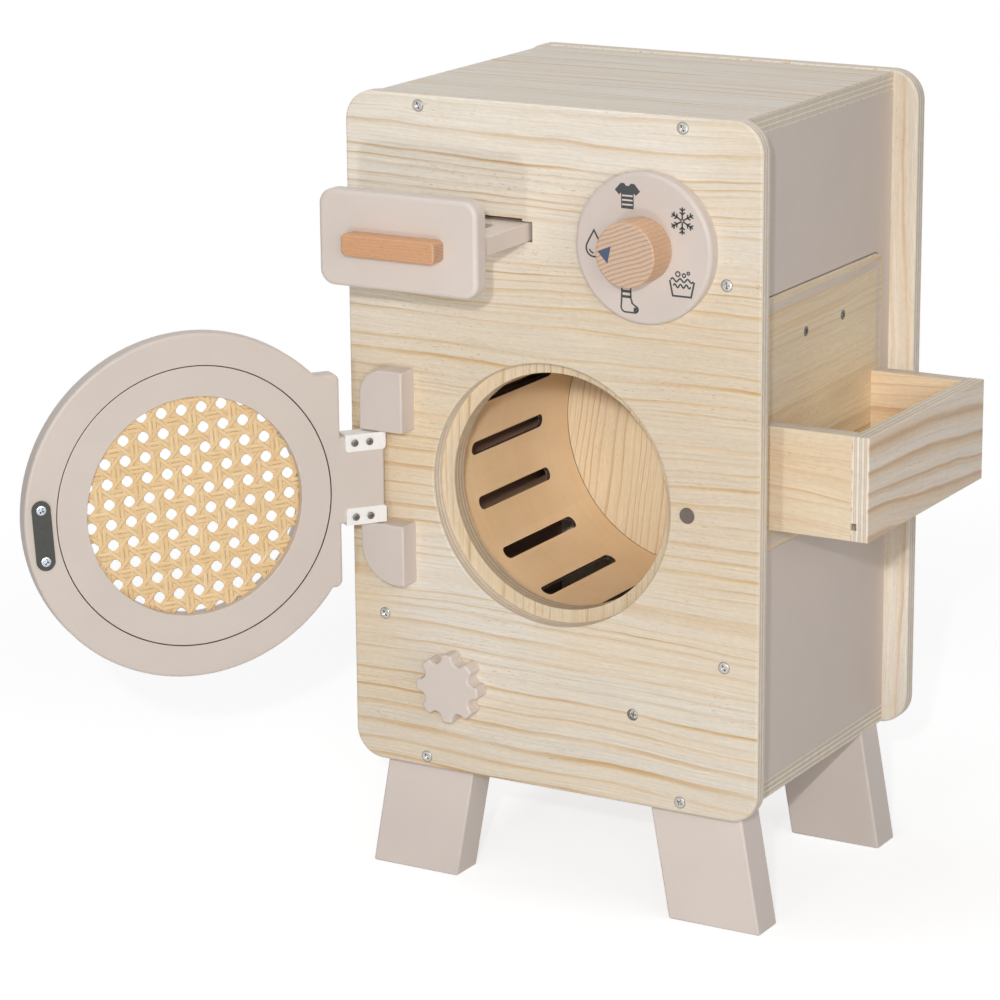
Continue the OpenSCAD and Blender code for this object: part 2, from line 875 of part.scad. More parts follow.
module drum_shell() {
    length = drum_back - drum_front;
    color(veneer) translate([0, front_y, opening_z]) difference() {
        translate([0, drum_front, 0]) y_rod(2 * (drum_r + drum_wall), length);
        translate([0, drum_front - through, 0]) y_rod(2 * drum_r, length + 2 * through);
        for (i = [0:drum_slots - 1])
            rotate([0, slot_turn - i * 360 / drum_slots, 0]) drum_slot();
    }
}

// One slot through the drum's wall, on its +X side
module drum_slot() {
    straight = slot_l - slot_w;
    translate([drum_r - 5, slot_front + slot_l / 2, 0]) rotate([0, 90, 0]) {
        translate([-slot_w / 2, -straight / 2, 0]) cube([slot_w, straight, 2 * drum_wall + 5]);
        for (s = [-1, 1]) translate([0, s * straight / 2, 0]) cylinder(d = slot_w, h = 2 * drum_wall + 5);
    }
}

module drum_back_disc() {
    color(pine) translate([0, front_y + disc_front, opening_z]) difference() {
        y_rod(2 * drum_r, disc_t);
        translate([0, -through, 0]) y_rod(axle_d, disc_t + 2 * through);
    }
}

module drum_hub() {
    color(beech) translate([0, front_y + drum_back, opening_z]) difference() {
        y_rod(2 * hub_r, hub_t);
        translate([0, -through, 0]) y_rod(axle_d, hub_t + 2 * through);
    }
}

module drum_axle() {
    color(steel) translate([0, front_y + disc_front, opening_z]) {
        y_rod(axle_d, axle_end_y - front_y - disc_front);
        translate([0, -axle_head[1], 0]) hexagon(axle_head[0], axle_head[1]);
    }
}

module axle_nut() {
    color(steel) translate([0, back_y + washer_t + knob_gap, opening_z]) nut(axle_head[0], axle_d, nut_t);
}

module axle_block() {
    color(pine) difference() {
        translate([0, inner_back_y - block_t, opening_z]) y_rod(2 * block_r, block_t);
        translate([0, inner_back_y - block_t - through, opening_z]) y_rod(bush_d, block_t + 2 * through);
        at_axle_block_screws() csk_hole(inner_screw);
    }
}

module axle_bushing() {
    color(nylon) translate([0, inner_back_y - block_t, opening_z]) difference() {
        y_rod(bush_d, block_t + ply_t);
        translate([0, -through, 0]) y_rod(axle_d + 2 * fit_gap, block_t + ply_t + 2 * through);
    }
}

module axle_washer() {
    color(steel) translate([0, back_y, opening_z]) washer(22, axle_d + 2 * fit_gap);
}

// ---------- Side tray ----------

module side_plate() {
    color(pine) difference() {
        translate([side_x - plate_sink, 0, leg_h + plate_mid_h])
            side_slab(plate_l, plate_h, plate_r, plate_t);
        at_plate_screws() csk_hole(plate_screw);
    }
}

module side_plate_screws() { color(steel) at_plate_screws() csk_screw(plate_screw); }

// The groove round the tray's inside that its base sits in
module tray_groove() {
    translate([plate_face_x - through, -tray_l / 2 + tray_wall - groove_d, tray_base_z])
        cube([tray_d - tray_wall + groove_d + through, tray_l - 2 * (tray_wall - groove_d), tray_base_t]);
    translate([tray_out_x - tray_wall, -tray_l / 2 - through, tray_base_z])
        cube([groove_d, tray_l + 2 * through, tray_base_t]);
}

module tray_front_wall() {
    color(pine) difference() {
        translate([tray_out_x - tray_wall, -tray_l / 2, tray_z]) cube([tray_wall, tray_l, tray_h]);
        tray_groove();
    }
}

module tray_end_wall(y) {
    color(pine) difference() {
        translate([plate_face_x, y, tray_z]) cube([tray_d - tray_wall, tray_wall, tray_h]);
        tray_groove();
    }
}

module tray_near_wall() { tray_end_wall(-tray_l / 2); }
module tray_far_wall() { tray_end_wall(tray_l / 2 - tray_wall); }

module tray_base() {
    color(pine) translate([plate_face_x, -tray_l / 2 + tray_wall - groove_d, tray_base_z])
        cube([tray_d - tray_wall + groove_d, tray_l - 2 * (tray_wall - groove_d), tray_base_t]);
}

// ---------- The pieces ----------

// Everything is drawn about the cabinet's middle and moved to the frame's origin here
translate(frame_shift) {
    front_panel();
    back_panel();
    top_panel();
    bottom_panel();
    left_side_panel();
    right_side_panel();
    opening_ring();
    front_batten();
    leg_front_left();
    leg_front_right();
    leg_back_left();
    leg_back_right();
    leg_screws();
    front_screws();
    back_screws();
    inner_screws();
    hinge_block_upper();
    hinge_block_lower();
    hinge_pins();
    door_magnet();
    dial_disc();
    spindle_washers();
    drawer_shelf();
    drawer_runner_left();
    drawer_runner_right();
    shelf_screws();
    axle_block();
    axle_bushing();
    axle_washer();
    side_plate();
    side_plate_screws();
    tray_front_wall();
    tray_near_wall();
    tray_far_wall();
    tray_base();
    door_ring();
    door_clamp_ring();
    cane_webbing();
    hinge_bracket_upper();
    hinge_bracket_lower();
    bracket_screws();
    strike_plate();
    strike_screws();
    drawer_front();
    drawer_handle();
    drawer_board();
    drawer_dowels();
    handle_screws();
    drawer_stop_peg();
    dial_knob();
    dial_bolt();
    dial_nut();
    gear_knob();
    gear_bolt();
    gear_nut();
    drum_shell();
    drum_back_disc();
    drum_hub();
    drum_axle();
    axle_nut();
}
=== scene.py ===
"""A wooden toy washing machine: pine plywood cabinet, greige painted door with cane webbing,
detergent drawer, programme dial, spin knob, slotted drum and a side tray, all on splayed legs."""

from math import cos, hypot, pi, radians, sin, sqrt

import bmesh
import bpy
from mathutils import Matrix, Vector


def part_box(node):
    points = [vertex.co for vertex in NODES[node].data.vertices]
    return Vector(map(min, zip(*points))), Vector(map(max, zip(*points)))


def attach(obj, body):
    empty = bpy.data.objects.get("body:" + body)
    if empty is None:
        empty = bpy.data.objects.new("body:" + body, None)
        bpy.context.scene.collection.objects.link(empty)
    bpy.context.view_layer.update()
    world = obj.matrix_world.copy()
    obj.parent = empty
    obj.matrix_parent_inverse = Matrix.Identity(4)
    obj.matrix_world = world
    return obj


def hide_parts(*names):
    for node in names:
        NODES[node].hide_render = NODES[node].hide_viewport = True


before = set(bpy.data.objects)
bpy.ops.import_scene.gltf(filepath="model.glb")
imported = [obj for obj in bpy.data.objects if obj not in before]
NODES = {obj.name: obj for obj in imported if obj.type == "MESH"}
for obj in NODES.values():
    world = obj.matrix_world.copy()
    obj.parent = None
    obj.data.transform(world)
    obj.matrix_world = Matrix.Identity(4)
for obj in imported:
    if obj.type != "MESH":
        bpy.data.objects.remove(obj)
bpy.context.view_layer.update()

# ---- places, in millimetres

# Millimetre places below are measured from the floor under the cabinet's own middle.
CABINET_DEEP = 242
BOARD = 12
panel_low, panel_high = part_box("front_panel")
MIDDLE = Vector(((panel_low.x + panel_high.x) / 2, panel_low.y + CABINET_DEEP / 2000, 0))

# outlines are (left, right, low, high)
PANEL = (-150, 150, 80, 532)
PANEL_ROUND = 20
FRONT = -CABINET_DEEP / 2
BACK = CABINET_DEEP / 2
FRONT_SCREWS = [(-95, 87), (95, 87), (-95, 525), (95, 525), (-126, 182.5), (126, 182.5), (-126, 429.5),
                (126, 429.5), (60.5, 141)]
TOP_UNDERSIDE = 519
TOP_PLUGS = [(-126, -82.5), (126, -82.5), (-126, 74), (126, 74)]
BOTTOM_UNDERSIDE = 81
SIDE_BARE = 131.5
LEG_TOP = 79
OPENING = (0, 279)
OPENING_R = 87
RING_R = 78.5
DRUM_R = 96
DRUM_WALL = 3
DISC_FRONT = 76
DISC_THICK = 10

HINGE = Vector((-126, -130.5, 0))
HINGE_HEIGHT = 280
HINGE_APART = 25
PIN_CLEAR = 4
BLOCK_BACK = -121.5
DOOR_OPEN = radians(127)
DOOR_MIDDLE = (0, 274)
DOOR_OUT = -136
DOOR_IN = -124
DOOR_R = 114
TAB_FROM = -99.7
BRACKET_SEATS = (-109, -119.3)
WINDOW_R = 72.5
CLAMP_R = 93
CANE_UNDER = 5.9
CANE_PITCH = 0.01345
CANE_TURN = radians(-3.9)
MAGNET_FACE = -121.3

DRAWER_OUTLINE = (-122.5, -7.5, 420.75, 482.25)
DRAWER_ROUND = 10
DRAWER_FRONT = -197.9
DRAWER_BOARD_BACK = -73.9
DRAWER_BOARD_HALF = 51
HANDLE_FRONT = -209.8
DIAL = (72, 449)
DIAL_FACE = -130
DIAL_R = 48
KNOB_FACE = -153.6
KNOB_R = 20.5
GEAR_FACE = -133.4
MOTIF_OUT = 34.2
MOTIF_SIZE = 1.12

PLATE_OUTLINE = (-93, 93, 248.5, 413.5)
PLATE_ROUND = 9
PLATE_IN = 128
PLATE_OUT = 134
TRAY_IN = 198
TRAY_OUT = 210
TRAY_NEAR = -90
TRAY_FAR = 78
TRAY_FLOOR = 275
TRAY_TOP = 335

TO_MM = Matrix.Scale(1000, 4) @ Matrix.Translation(-MIDDLE)
SHUT_TO_REST = Matrix.Translation(HINGE) @ Matrix.Rotation(-DOOR_OPEN, 4, "Z") @ Matrix.Translation(-HINGE)
# A point of the frame in millimetres, with the door's own pieces turned to where they are shut
PLACES = {"still": TO_MM, "door": SHUT_TO_REST.inverted() @ TO_MM}


# ---- nodes

def srgb(code):
    """An sRGB hex colour as linear red, green, blue and alpha."""
    parts = [int(code[i : i + 2], 16) / 255 for i in (1, 3, 5)]
    return tuple(p / 12.92 if p <= 0.04045 else ((p + 0.055) / 1.055) ** 2.4 for p in parts) + (1.0,)


# what the word after a node's name sets
MAIN_SETTING = {"Math": "operation", "VectorMath": "operation", "Mix": "data_type",
                "MapRange": "interpolation_type"}


def adder(tree):
    """The one function that adds nodes to a tree: kind is a node's name, and its main setting after a space.

    Inputs are filled in order, or by a name with a capital letter, with values, hex colours or links, and a
    list makes several links. Names in small letters are settings. Returns the output named out, or the first."""
    def add(kind, *inputs, out=None, **words):
        kind, _, word = kind.partition(" ")
        family = next(f for f in ("ShaderNode", "GeometryNode", "FunctionNode", "")
                      if hasattr(bpy.types, f + kind))
        node = tree.nodes.new(family + kind)
        if word:
            setattr(node, MAIN_SETTING[kind], word)
        for name, value in words.items():
            if name[0].islower():
                setattr(node, name, value)
        shown = [socket for socket in node.inputs if socket.enabled]
        filled = list(zip(shown, inputs))
        filled += [(node.inputs[name.replace("_", " ")], value) for name, value in words.items()
                   if name[0].isupper()]
        for socket, value in filled:
            for link in value if isinstance(value, list) else [value]:
                if isinstance(link, bpy.types.NodeSocket):
                    tree.links.new(link, socket)
                elif link is not None:
                    hexed = isinstance(link, str) and link.startswith("#")
                    socket.default_value = srgb(link)[:len(socket.default_value)] if hexed else link
        return node.outputs[out] if out else next((socket for socket in node.outputs if socket.enabled), None)
    return add


def new_finish(name, place="still"):
    """An empty material, what adds its nodes, and its object's coordinates in millimetres.

    They are measured from the cabinet's middle, and on the door they are turned to where it is shut."""
    finish = bpy.data.materials.new(name)
    finish.use_nodes = True
    finish.node_tree.nodes.clear()
    add = adder(finish.node_tree)
    turn = PLACES[place]
    mm = add("Mapping", add("TexCoord", out="Object"), turn.to_translation(), turn.to_euler(),
             (1000, 1000, 1000))
    return finish, add, mm


def finished(finish, add, colour, rough, height=None, relief=0.12, grit=0.0002, **constants):
    """Ends a material in one Principled shader with its relief; constants go on the shader's own sockets."""
    bump = add("Bump", Strength=relief, Distance=grit, Height=height) if height else None
    add("OutputMaterial", add("BsdfPrincipled", Base_Color=colour, Roughness=rough, Normal=bump, **constants))
    return finish


# ---- finishes

def pine_plywood(name, grain, through, face, thick=BOARD, lean=0.0, seed=1.0, wave=1.0, ring=10.5,
                 cream="#E6DDCF", warm="#EBD3AE", late="#CAA06D", soft=0.55, strong=0.95, sure=0.25,
                 edge=0.95, ends=("#F1E8DB", "#DCCDB8"), plugs=(), screws=(), tints_and_painted_light=(), painted_band=None):
    """Pine-faced plywood, knife-cut veneer sanded fine under matt clear lacquer.

    To the eye: cream wood with tan latewood lines, sharp on one side, and bare plies on every cut edge."""
    finish, add, mm = new_finish(name)
    axes = dict(zip("XYZ", add("SeparateXYZ", mm).node.outputs))
    across = ({"X", "Y", "Z"} - {grain, through}).pop()
    c, s = cos(radians(lean)), sin(radians(lean))
    u = add("Math MULTIPLY_ADD", axes[grain], c, add("Math MULTIPLY", axes[across], s))
    v = add("Math MULTIPLY_ADD", axes[grain], -s, add("Math MULTIPLY", axes[across], c))
    sheet = add("CombineXYZ", u, v, seed * 7.3)

    # the rings drift by up to 14 mm over a board's length and ripple by 2 mm
    drift = add("TexNoise", add("Mapping", sheet, Scale=(1 / 320, 1 / 120, 1)), Scale=1, Detail=1)
    ripple = add("TexNoise", add("Mapping", sheet, (3, 5, 0), Scale=(1 / 60, 1 / 22, 1)), Scale=1, Detail=2)
    v1 = add("Math MULTIPLY_ADD", drift, 28 * wave, v)
    v2 = add("Math MULTIPLY_ADD", ripple, 4.2 * wave, v1)
    along = add("CombineXYZ", u, v2, seed)

    def ring_lines(spacing, unevenness, start, label):
        """Growth rings: how far through its ring a point is, and the ring's strength, which varies."""
        uneven = add("TexNoise", add("Math MULTIPLY_ADD", v2, 0.026, seed + label), Scale=1, Detail=1,
                     noise_dimensions="1D")
        rings = add("Math MULTIPLY_ADD", uneven, unevenness, add("Math MULTIPLY", v2, 1 / spacing))
        saw = add("Math FRACT", rings)
        number = add("Math FLOOR", rings)
        luck = add("TexWhiteNoise", add("Math ADD", number, seed + label), noise_dimensions="1D")
        luck = add("MapRange", luck, 0.0, 1.0, start, 1.0)
        length = add("CombineXYZ", add("Math MULTIPLY", u, 1 / 110), add("Math MULTIPLY", number, 3.7), seed)
        fade = add("TexNoise", length, Scale=1, Detail=2)
        fade = add("MapRange", fade, 0.32, 0.62, max(0.2, start - 0.1), 1.0)
        return saw, add("Math MULTIPLY", luck, fade)

    saw, strength = ring_lines(ring, 4.0 * (1.15 - sure), sure, 0)
    fall = add("MapRange SMOOTHSTEP", saw, edge, 1.0, 1.0, 0.0)
    glow = add("Math MULTIPLY", add("MapRange SMOOTHSTEP", saw, 0.3, 0.92), fall)
    glow = add("Math MULTIPLY", glow, strength)
    core = add("Math MULTIPLY", add("MapRange SMOOTHSTEP", saw, 0.66, 0.94), fall)
    core = add("Math MULTIPLY", core, strength)
    thin_saw, thin_strength = ring_lines(ring / 3.4, 3.0, 0.0, 40)
    thin = add("MapRange SMOOTHSTEP", thin_saw, 0.55, 0.9)
    thin = add("Math MULTIPLY", add("Math MULTIPLY", thin, add("MapRange", thin_saw, 0.9, 1.0, 1.0, 0.0)),
               thin_strength)

    # bands of warmer wood about 50 mm wide, and fibres drawn 0.8 mm wide (really 0.1 mm, too fine to show)
    band = add("TexNoise", add("Mapping", along, Scale=(1 / 480, 1 / 44, 1)), Scale=1, Detail=2)
    band = add("MapRange SMOOTHSTEP", band, 0.42, 0.66)
    fibre = add("TexNoise", add("Mapping", along, Scale=(1 / 30, 1 / 0.8, 1)), Scale=1, Detail=3,
                Roughness=0.65)
    streak = add("TexNoise", add("Mapping", along, (9, 1, 0), Scale=(1 / 80, 1 / 3.0, 1)), Scale=1, Detail=2)
    mottle = add("TexNoise", add("Mapping", along, (4, 2, 0), Scale=(1 / 5, 1 / 1.6, 1)), Scale=1, Detail=2)
    # resin dashes 3 to 6 mm long and 0.5 mm wide, in patches
    dash = add("TexNoise", add("Mapping", sheet, (0, 7, 0), Scale=(1 / 3.6, 1 / 0.7, 1)), Scale=1, Detail=1)
    patch = add("TexNoise", add("Mapping", sheet, (2, 0, 4), Scale=(1 / 70, 1 / 22, 1)), Scale=1, Detail=1)
    dash = add("Math MULTIPLY", add("MapRange", dash, 0.66, 0.75),
               add("MapRange", patch, 0.45, 0.62, 0.0, 0.5))

    wood = add("Mix RGBA", add("Math MULTIPLY", band, 0.35), cream, warm)
    level = axes["Y" if through == "X" else "X"]
    # soft areas painted paler or warmer, some of them painted light
    for side, high, reach, amount, tint in tints_and_painted_light:
        off = add("VectorMath DISTANCE", add("CombineXYZ", level, 0.0, axes["Z"]), (side, 0, high))
        near = add("MapRange SMOOTHSTEP", off, reach, reach * 0.3, 0.0, amount)
        wood = add("Mix RGBA", near, wood, tint)
    for part, amount, tint in ((glow, soft, warm), (thin, 0.34, late), (core, strong, late)):
        wood = add("Mix RGBA", add("Math MULTIPLY", part, amount), wood, tint)
    wood = add("Mix RGBA", dash, wood, "#A57C50")
    shade = add("Math MULTIPLY", add("Math MULTIPLY", add("MapRange", fibre, 0.25, 0.75, 0.885, 1.07),
                                     add("MapRange", streak, 0.25, 0.75, 0.95, 1.035)),
                add("MapRange", mottle, 0.3, 0.7, 0.955, 1.03))

    # the plies: 1.7 mm each in a 12 mm board, long grain and end grain by turns, under 0.8 mm faces
    plies = max(3, round(thick / 1.72))
    deep = add("MapRange", axes[through], face, face + thick, 0.0, plies, clamp=False)
    ply = add("Math FLOOR", deep)
    seam = add("Math ABSOLUTE", add("Math SUBTRACT", add("Math FRACT", deep), 0.5))
    seam = add("MapRange", seam, 0.41, 0.47, 0.0, 0.7)
    ply_luck = add("TexWhiteNoise", add("Math ADD", ply, seed + 3), noise_dimensions="1D")
    rough_cut = add("TexNoise", add("Mapping", mm, Scale=(0.16,) * 3), Scale=1, Detail=3)
    pores = add("TexNoise", add("Mapping", mm, Scale=(1.1,) * 3), Scale=1, Detail=2)
    end = add("Mix RGBA", seam, add("Mix RGBA", add("Math MODULO", ply, 2), *ends), "#A08869")
    end_shade = add("Math MULTIPLY",
                    add("Math MULTIPLY", add("MapRange", ply_luck, 0.0, 1.0, 0.92, 1.04),
                        add("MapRange", rough_cut, 0.3, 0.7, 0.94, 1.05)),
                    add("MapRange", pores, 0.3, 0.7, 0.95, 1.04))
    from_middle = add("Math ABSOLUTE", add("Math SUBTRACT", axes[through], face + thick / 2))
    in_face = add("Math GREATER_THAN", from_middle, thick / 2 - 0.8)
    body = add("Mix RGBA", in_face, end, wood)
    shade = add("Mix", in_face, end_shade, shade)
    # wood filler over sunk nails; round each countersink a dark ring of painted shade, where the sunk head's rim
    # is shaded
    spots = [((axes["X"], axes["Y"], 0.0), (x, y, 0), (1.7, 2.1, 0.85, 0.0), "#F1EADC") for x, y in plugs]
    spots += [((axes["X"], 0.0, axes["Z"]), (x, 0, z), (3.7, 4.3, 0.8, 0.0), "#5E4C3B") for x, z in screws]
    for flat, middle, reach, tint in spots:
        off = add("VectorMath DISTANCE", add("CombineXYZ", *flat), middle)
        body = add("Mix RGBA", add("MapRange", off, *reach), body, tint)
    # a band of thin paint inside the outline of a round-cornered board: (outline, corner, from, to)
    if painted_band:
        (left, right, low, high), corner, start, stop = painted_band
        qy, qz = (add("Math SUBTRACT", add("Math ABSOLUTE", add("Math SUBTRACT", axes[axis], (a + b) / 2)),
                      (b - a) / 2 - corner)
                  for axis, a, b in (("Y", left, right), ("Z", low, high)))
        outer = add("VectorMath LENGTH",
                    add("CombineXYZ", add("Math MAXIMUM", qy, 0.0), add("Math MAXIMUM", qz, 0.0), 0.0))
        inner = add("Math MINIMUM", add("Math MAXIMUM", qy, qz), 0.0)
        reach = add("Math SUBTRACT", corner, add("Math ADD", outer, inner))
        on = add("Math MULTIPLY", add("Math MULTIPLY", add("MapRange", reach, start - 0.3, start + 0.3),
                                      add("MapRange", reach, stop - 0.3, stop + 0.3, 1.0, 0.0)),
                 add("MapRange", mottle, 0.3, 0.7, 0.55, 0.85))
        body = add("Mix RGBA", on, body, "#D9CCC3")
    colour = add("VectorMath SCALE", body, shade)
    rough = add("MapRange", fibre, 0.2, 0.8, 0.46, 0.62)
    return finished(finish, add, colour, rough, add("Math MULTIPLY_ADD", core, 0.6, fibre), IOR=1.48)


def greige_enamel(name, colour="#DBCFC6", bare=None, joint=None, place="still"):
    """Sprayed water-based enamel on sanded plywood, satin.

    To the eye: an even warm grey-pink with a faint cloudiness of the coat and a very fine orange peel.
    bare is (axis, limit, side, hex): past that plane the board is left raw.
    joint is (x, z, from, to, back): between those radii, past y = back, the coat is coloured dark brown."""
    finish, add, mm = new_finish(name, place)
    cloud = add("TexNoise", add("Mapping", mm, Scale=(1 / 48,) * 3), Scale=1, Detail=3)
    peel = add("TexNoise", add("Mapping", mm, Scale=(1 / 1.6,) * 3), Scale=1, Detail=2)
    shade = add("Math MULTIPLY", add("MapRange", cloud, 0.3, 0.7, 0.978, 1.018),
                add("MapRange", peel, 0.3, 0.7, 0.992, 1.006))
    coat = add("VectorMath SCALE", colour, shade)
    rough = add("MapRange", cloud, 0.2, 0.8, 0.40, 0.50)
    if bare:
        axis, limit, side, raw = bare
        value = add("SeparateXYZ", mm, out=axis)
        past = add("Math", value, limit, operation="GREATER_THAN" if side > 0 else "LESS_THAN")
        fur = add("TexNoise", add("Mapping", mm, Scale=(1 / 3, 1 / 60, 1 / 1.5)), Scale=1, Detail=3)
        board = add("VectorMath SCALE", raw, add("MapRange", fur, 0.25, 0.75, 0.8, 1.15))
        coat = add("Mix RGBA", past, coat, board)
        rough = add("Mix", past, rough, 0.8)
    if joint:
        x, z, start, stop, back = joint
        flat = add("VectorMath MULTIPLY", add("VectorMath SUBTRACT", mm, (x, 0, z)), (1, 0, 1))
        radius = add("VectorMath LENGTH", flat)
        past = add("Math GREATER_THAN", add("SeparateXYZ", mm, out="Y"), back)
        inside = add("Math MULTIPLY",
                     add("Math MULTIPLY", add("Math GREATER_THAN", radius, start),
                         add("Math LESS_THAN", radius, stop)), past)
        coat = add("Mix RGBA", inside, coat, "#7A6153")
    return finished(finish, add, coat, rough, peel, 0.05, IOR=1.5)


def turned_beech(name, ring_way, length_axis, pale="#E1C6B2", red="#E0B48C", line="#AD8B73", seed=0.0,
                 spacing=1.8):
    """Steamed beech, turned or moulded, sanded and oiled.

    To the eye: pinkish tan; rings show as brown lines on the end, and as small dark flecks along the sides.
    ring_way is the direction across the growth rings, length_axis the axis of the fibres."""
    finish, add, mm = new_finish(name)
    way = Vector(ring_way).normalized()
    out = add("VectorMath DOT_PRODUCT", mm, tuple(way))
    bend = add("TexNoise", add("Mapping", mm, (seed, 0, 0),
                               Scale=tuple(1 / 160 if a == length_axis else 1 / 26 for a in "XYZ")),
               Scale=1, Detail=1)
    rings = add("Math MULTIPLY_ADD", bend, 1.3, add("Math MULTIPLY", out, 1 / spacing))
    saw = add("Math FRACT", rings)
    broken = add("TexNoise", add("Mapping", mm,
                                 Scale=tuple(1 / 14 if a == length_axis else 1 / 1.7 for a in "XYZ")),
                 Scale=1, Detail=3)
    line_at = add("Math MULTIPLY",
                  add("Math MULTIPLY", add("MapRange", saw, 0.45, 0.9),
                      add("MapRange", saw, 0.9, 1.0, 1.0, 0.0)),
                  add("MapRange", broken, 0.35, 0.65, 0.45, 1.0))
    # silver-grain flecks 2 mm long, drawn 0.4 mm wide
    fleck = add("TexNoise", add("Mapping", mm,
                                Scale=tuple(1 / 3.2 if a == length_axis else 1 / 0.55 for a in "XYZ")),
                Scale=1, Detail=2)
    fleck = add("MapRange", fleck, 0.58, 0.72, 0.0, 0.5)
    normal = add("TexCoord", out="Normal")
    on_end = add("Math ABSOLUTE", add("SeparateXYZ", normal, out=length_axis))
    on_end = add("MapRange", on_end, 0.6, 0.95)
    side = add("Mix RGBA", fleck, red, line)
    wood = add("Mix RGBA", on_end, side, pale)
    line_at = add("Math MULTIPLY", line_at, add("MapRange", on_end, 0.0, 1.0, 0.28, 0.8))
    wood = add("Mix RGBA", line_at, wood, line)
    colour = add("VectorMath SCALE", wood, add("MapRange", broken, 0.25, 0.75, 0.94, 1.05))
    return finished(finish, add, colour, add("MapRange", broken, 0.2, 0.8, 0.42, 0.56), broken, IOR=1.48)


def bent_drum_veneer():
    """Birch veneer 3 mm thick bent into a drum, its laundry slots cut by laser.

    To the eye: smooth honey wood with faint grain round the drum, and slot edges burnt nearly black."""
    finish, add, mm = new_finish("Laser-cut bent birch veneer")
    x, y, z = add("SeparateXYZ", mm).node.outputs
    flat = add("CombineXYZ", add("Math SUBTRACT", x, OPENING[0]), 0.0, add("Math SUBTRACT", z, OPENING[1]))
    radius = add("VectorMath LENGTH", flat)
    grain_at = add("CombineXYZ", add("Math MULTIPLY", y, 1 / 5), add("Math MULTIPLY", z, 1 / 90),
                   add("Math MULTIPLY", x, 1 / 90))
    grain = add("TexNoise", grain_at, Scale=1, Detail=3)
    cloud = add("TexNoise", add("Mapping", mm, Scale=(1 / 60,) * 3), Scale=1, Detail=2)
    speck = add("TexNoise", add("Mapping", mm, Scale=(1 / 1.2, 1 / 0.6, 1 / 1.2)), Scale=1, Detail=2)
    shade = add("Math MULTIPLY", add("MapRange", grain, 0.3, 0.7, 0.985, 1.012),
                add("MapRange", speck, 0.3, 0.7, 0.965, 1.025))
    wood = add("Mix RGBA", add("MapRange", cloud, 0.3, 0.7), "#ECCFA6", "#E6C598")
    wood = add("VectorMath SCALE", wood, shade)
    past_inside = add("Math GREATER_THAN", radius, DRUM_R + 0.12)
    before_outside = add("Math LESS_THAN", radius, DRUM_R + DRUM_WALL - 0.12)
    cut = add("Math MULTIPLY", past_inside, before_outside)
    char = add("VectorMath SCALE", "#33201A", add("MapRange", speck, 0.3, 0.7, 0.6, 1.5))
    # a bead of brown glue where the disc closes the drum's back
    bead = add("MapRange", y, DISC_FRONT - 1.3, DISC_FRONT - 0.5, 0.0, 0.9)
    wood = add("Mix RGBA", bead, wood, "#5A3F2C")
    colour = add("Mix RGBA", cut, wood, char)
    rough = add("Mix", cut, 0.5, 0.85)
    return finished(finish, add, colour, rough, grain, 0.08, IOR=1.48)


def rattan_cane():
    """Shaved rattan cane, the glossy outer skin of the vine, woven wet and dried tight.

    To the eye: golden strands of slightly different tints, with fine lines along each and a soft shine."""
    finish, add, mm = new_finish("Woven rattan cane")
    along = add("Attribute", out="Fac", attribute_name="strand_along")
    tint = add("Attribute", out="Fac", attribute_name="strand_tint")
    side = add("Attribute", out="Fac", attribute_name="strand_side")
    skin = add("CombineXYZ", add("Math MULTIPLY", along, 55.0), add("Math MULTIPLY", side, 6.0),
               add("Math MULTIPLY", tint, 40.0))
    fibre = add("TexNoise", skin, Scale=1, Detail=2)
    patch = add("TexNoise", add("Mapping", mm, Scale=(1 / 5,) * 3), Scale=1, Detail=2)
    base = add("Mix RGBA", tint, "#EDD0A2", "#E6C492")
    base = add("Mix RGBA", add("MapRange", patch, 0.35, 0.7, 0.0, 0.4), base, "#E3B97E")
    colour = add("VectorMath SCALE", base, add("MapRange", fibre, 0.25, 0.75, 0.9, 1.04))
    rough = add("MapRange", fibre, 0.2, 0.8, 0.48, 0.66)
    return finished(finish, add, colour, rough, fibre, 0.15, IOR=1.5)


def plain_metal(name, colour, rough, grit=2.0, metallic=1.0, spread=0.08):
    """Plated or coated steel, stamped or cold-headed and tumbled.

    To the eye: an even, faintly cloudy coat; zinc bluish grey, phosphate nearly black, powder coat white."""
    finish, add, mm = new_finish(name)
    cloud = add("TexNoise", add("Mapping", mm, Scale=(1 / grit,) * 3), Scale=1, Detail=3)
    coat = add("VectorMath SCALE", colour, add("MapRange", cloud, 0.3, 0.7, 1 - spread, 1 + spread))
    value = add("MapRange", cloud, 0.25, 0.75, max(0.05, rough - 0.07), rough + 0.07)
    return finished(finish, add, coat, value, cloud, 0.06, 0.0001, Metallic=metallic)


def printed_ink(name, colour):
    """Pad-printed ink, a thin matt film.

    To the eye: flat dark marks with slightly uneven cover."""
    finish, add, mm = new_finish(name)
    cover = add("TexNoise", add("Mapping", mm, Scale=(1 / 0.9,) * 3), Scale=1, Detail=2)
    ink = add("VectorMath SCALE", colour, add("MapRange", cover, 0.3, 0.7, 0.92, 1.12))
    return finished(finish, add, ink, add("MapRange", cover, 0.2, 0.8, 0.5, 0.62), IOR=1.5)


# ---- boards and turned pieces

def put(name, data):
    """Puts new data into the scene as an object."""
    thing = bpy.data.objects.new(name, data)
    bpy.context.scene.collection.objects.link(thing)
    return thing


def carried(piece, body, slot, node=None):
    """Puts a piece on the body it rides on and hides the CAD node it stands for; slot is not used."""
    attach(piece, body)
    if node:
        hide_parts(node)


def made(name, skin, finish):
    """Turns a finished skin into an object with its finish."""
    mesh = bpy.data.meshes.new(name)
    skin.to_mesh(mesh)
    skin.free()
    mesh.materials.append(finish)
    return put(name, mesh)


def closed_skin(node):
    """A CAD node's loose triangles joined into one skin."""
    skin = bmesh.new()
    skin.from_mesh(NODES[node].data)
    bmesh.ops.remove_doubles(skin, verts=skin.verts, dist=2e-6)
    return skin


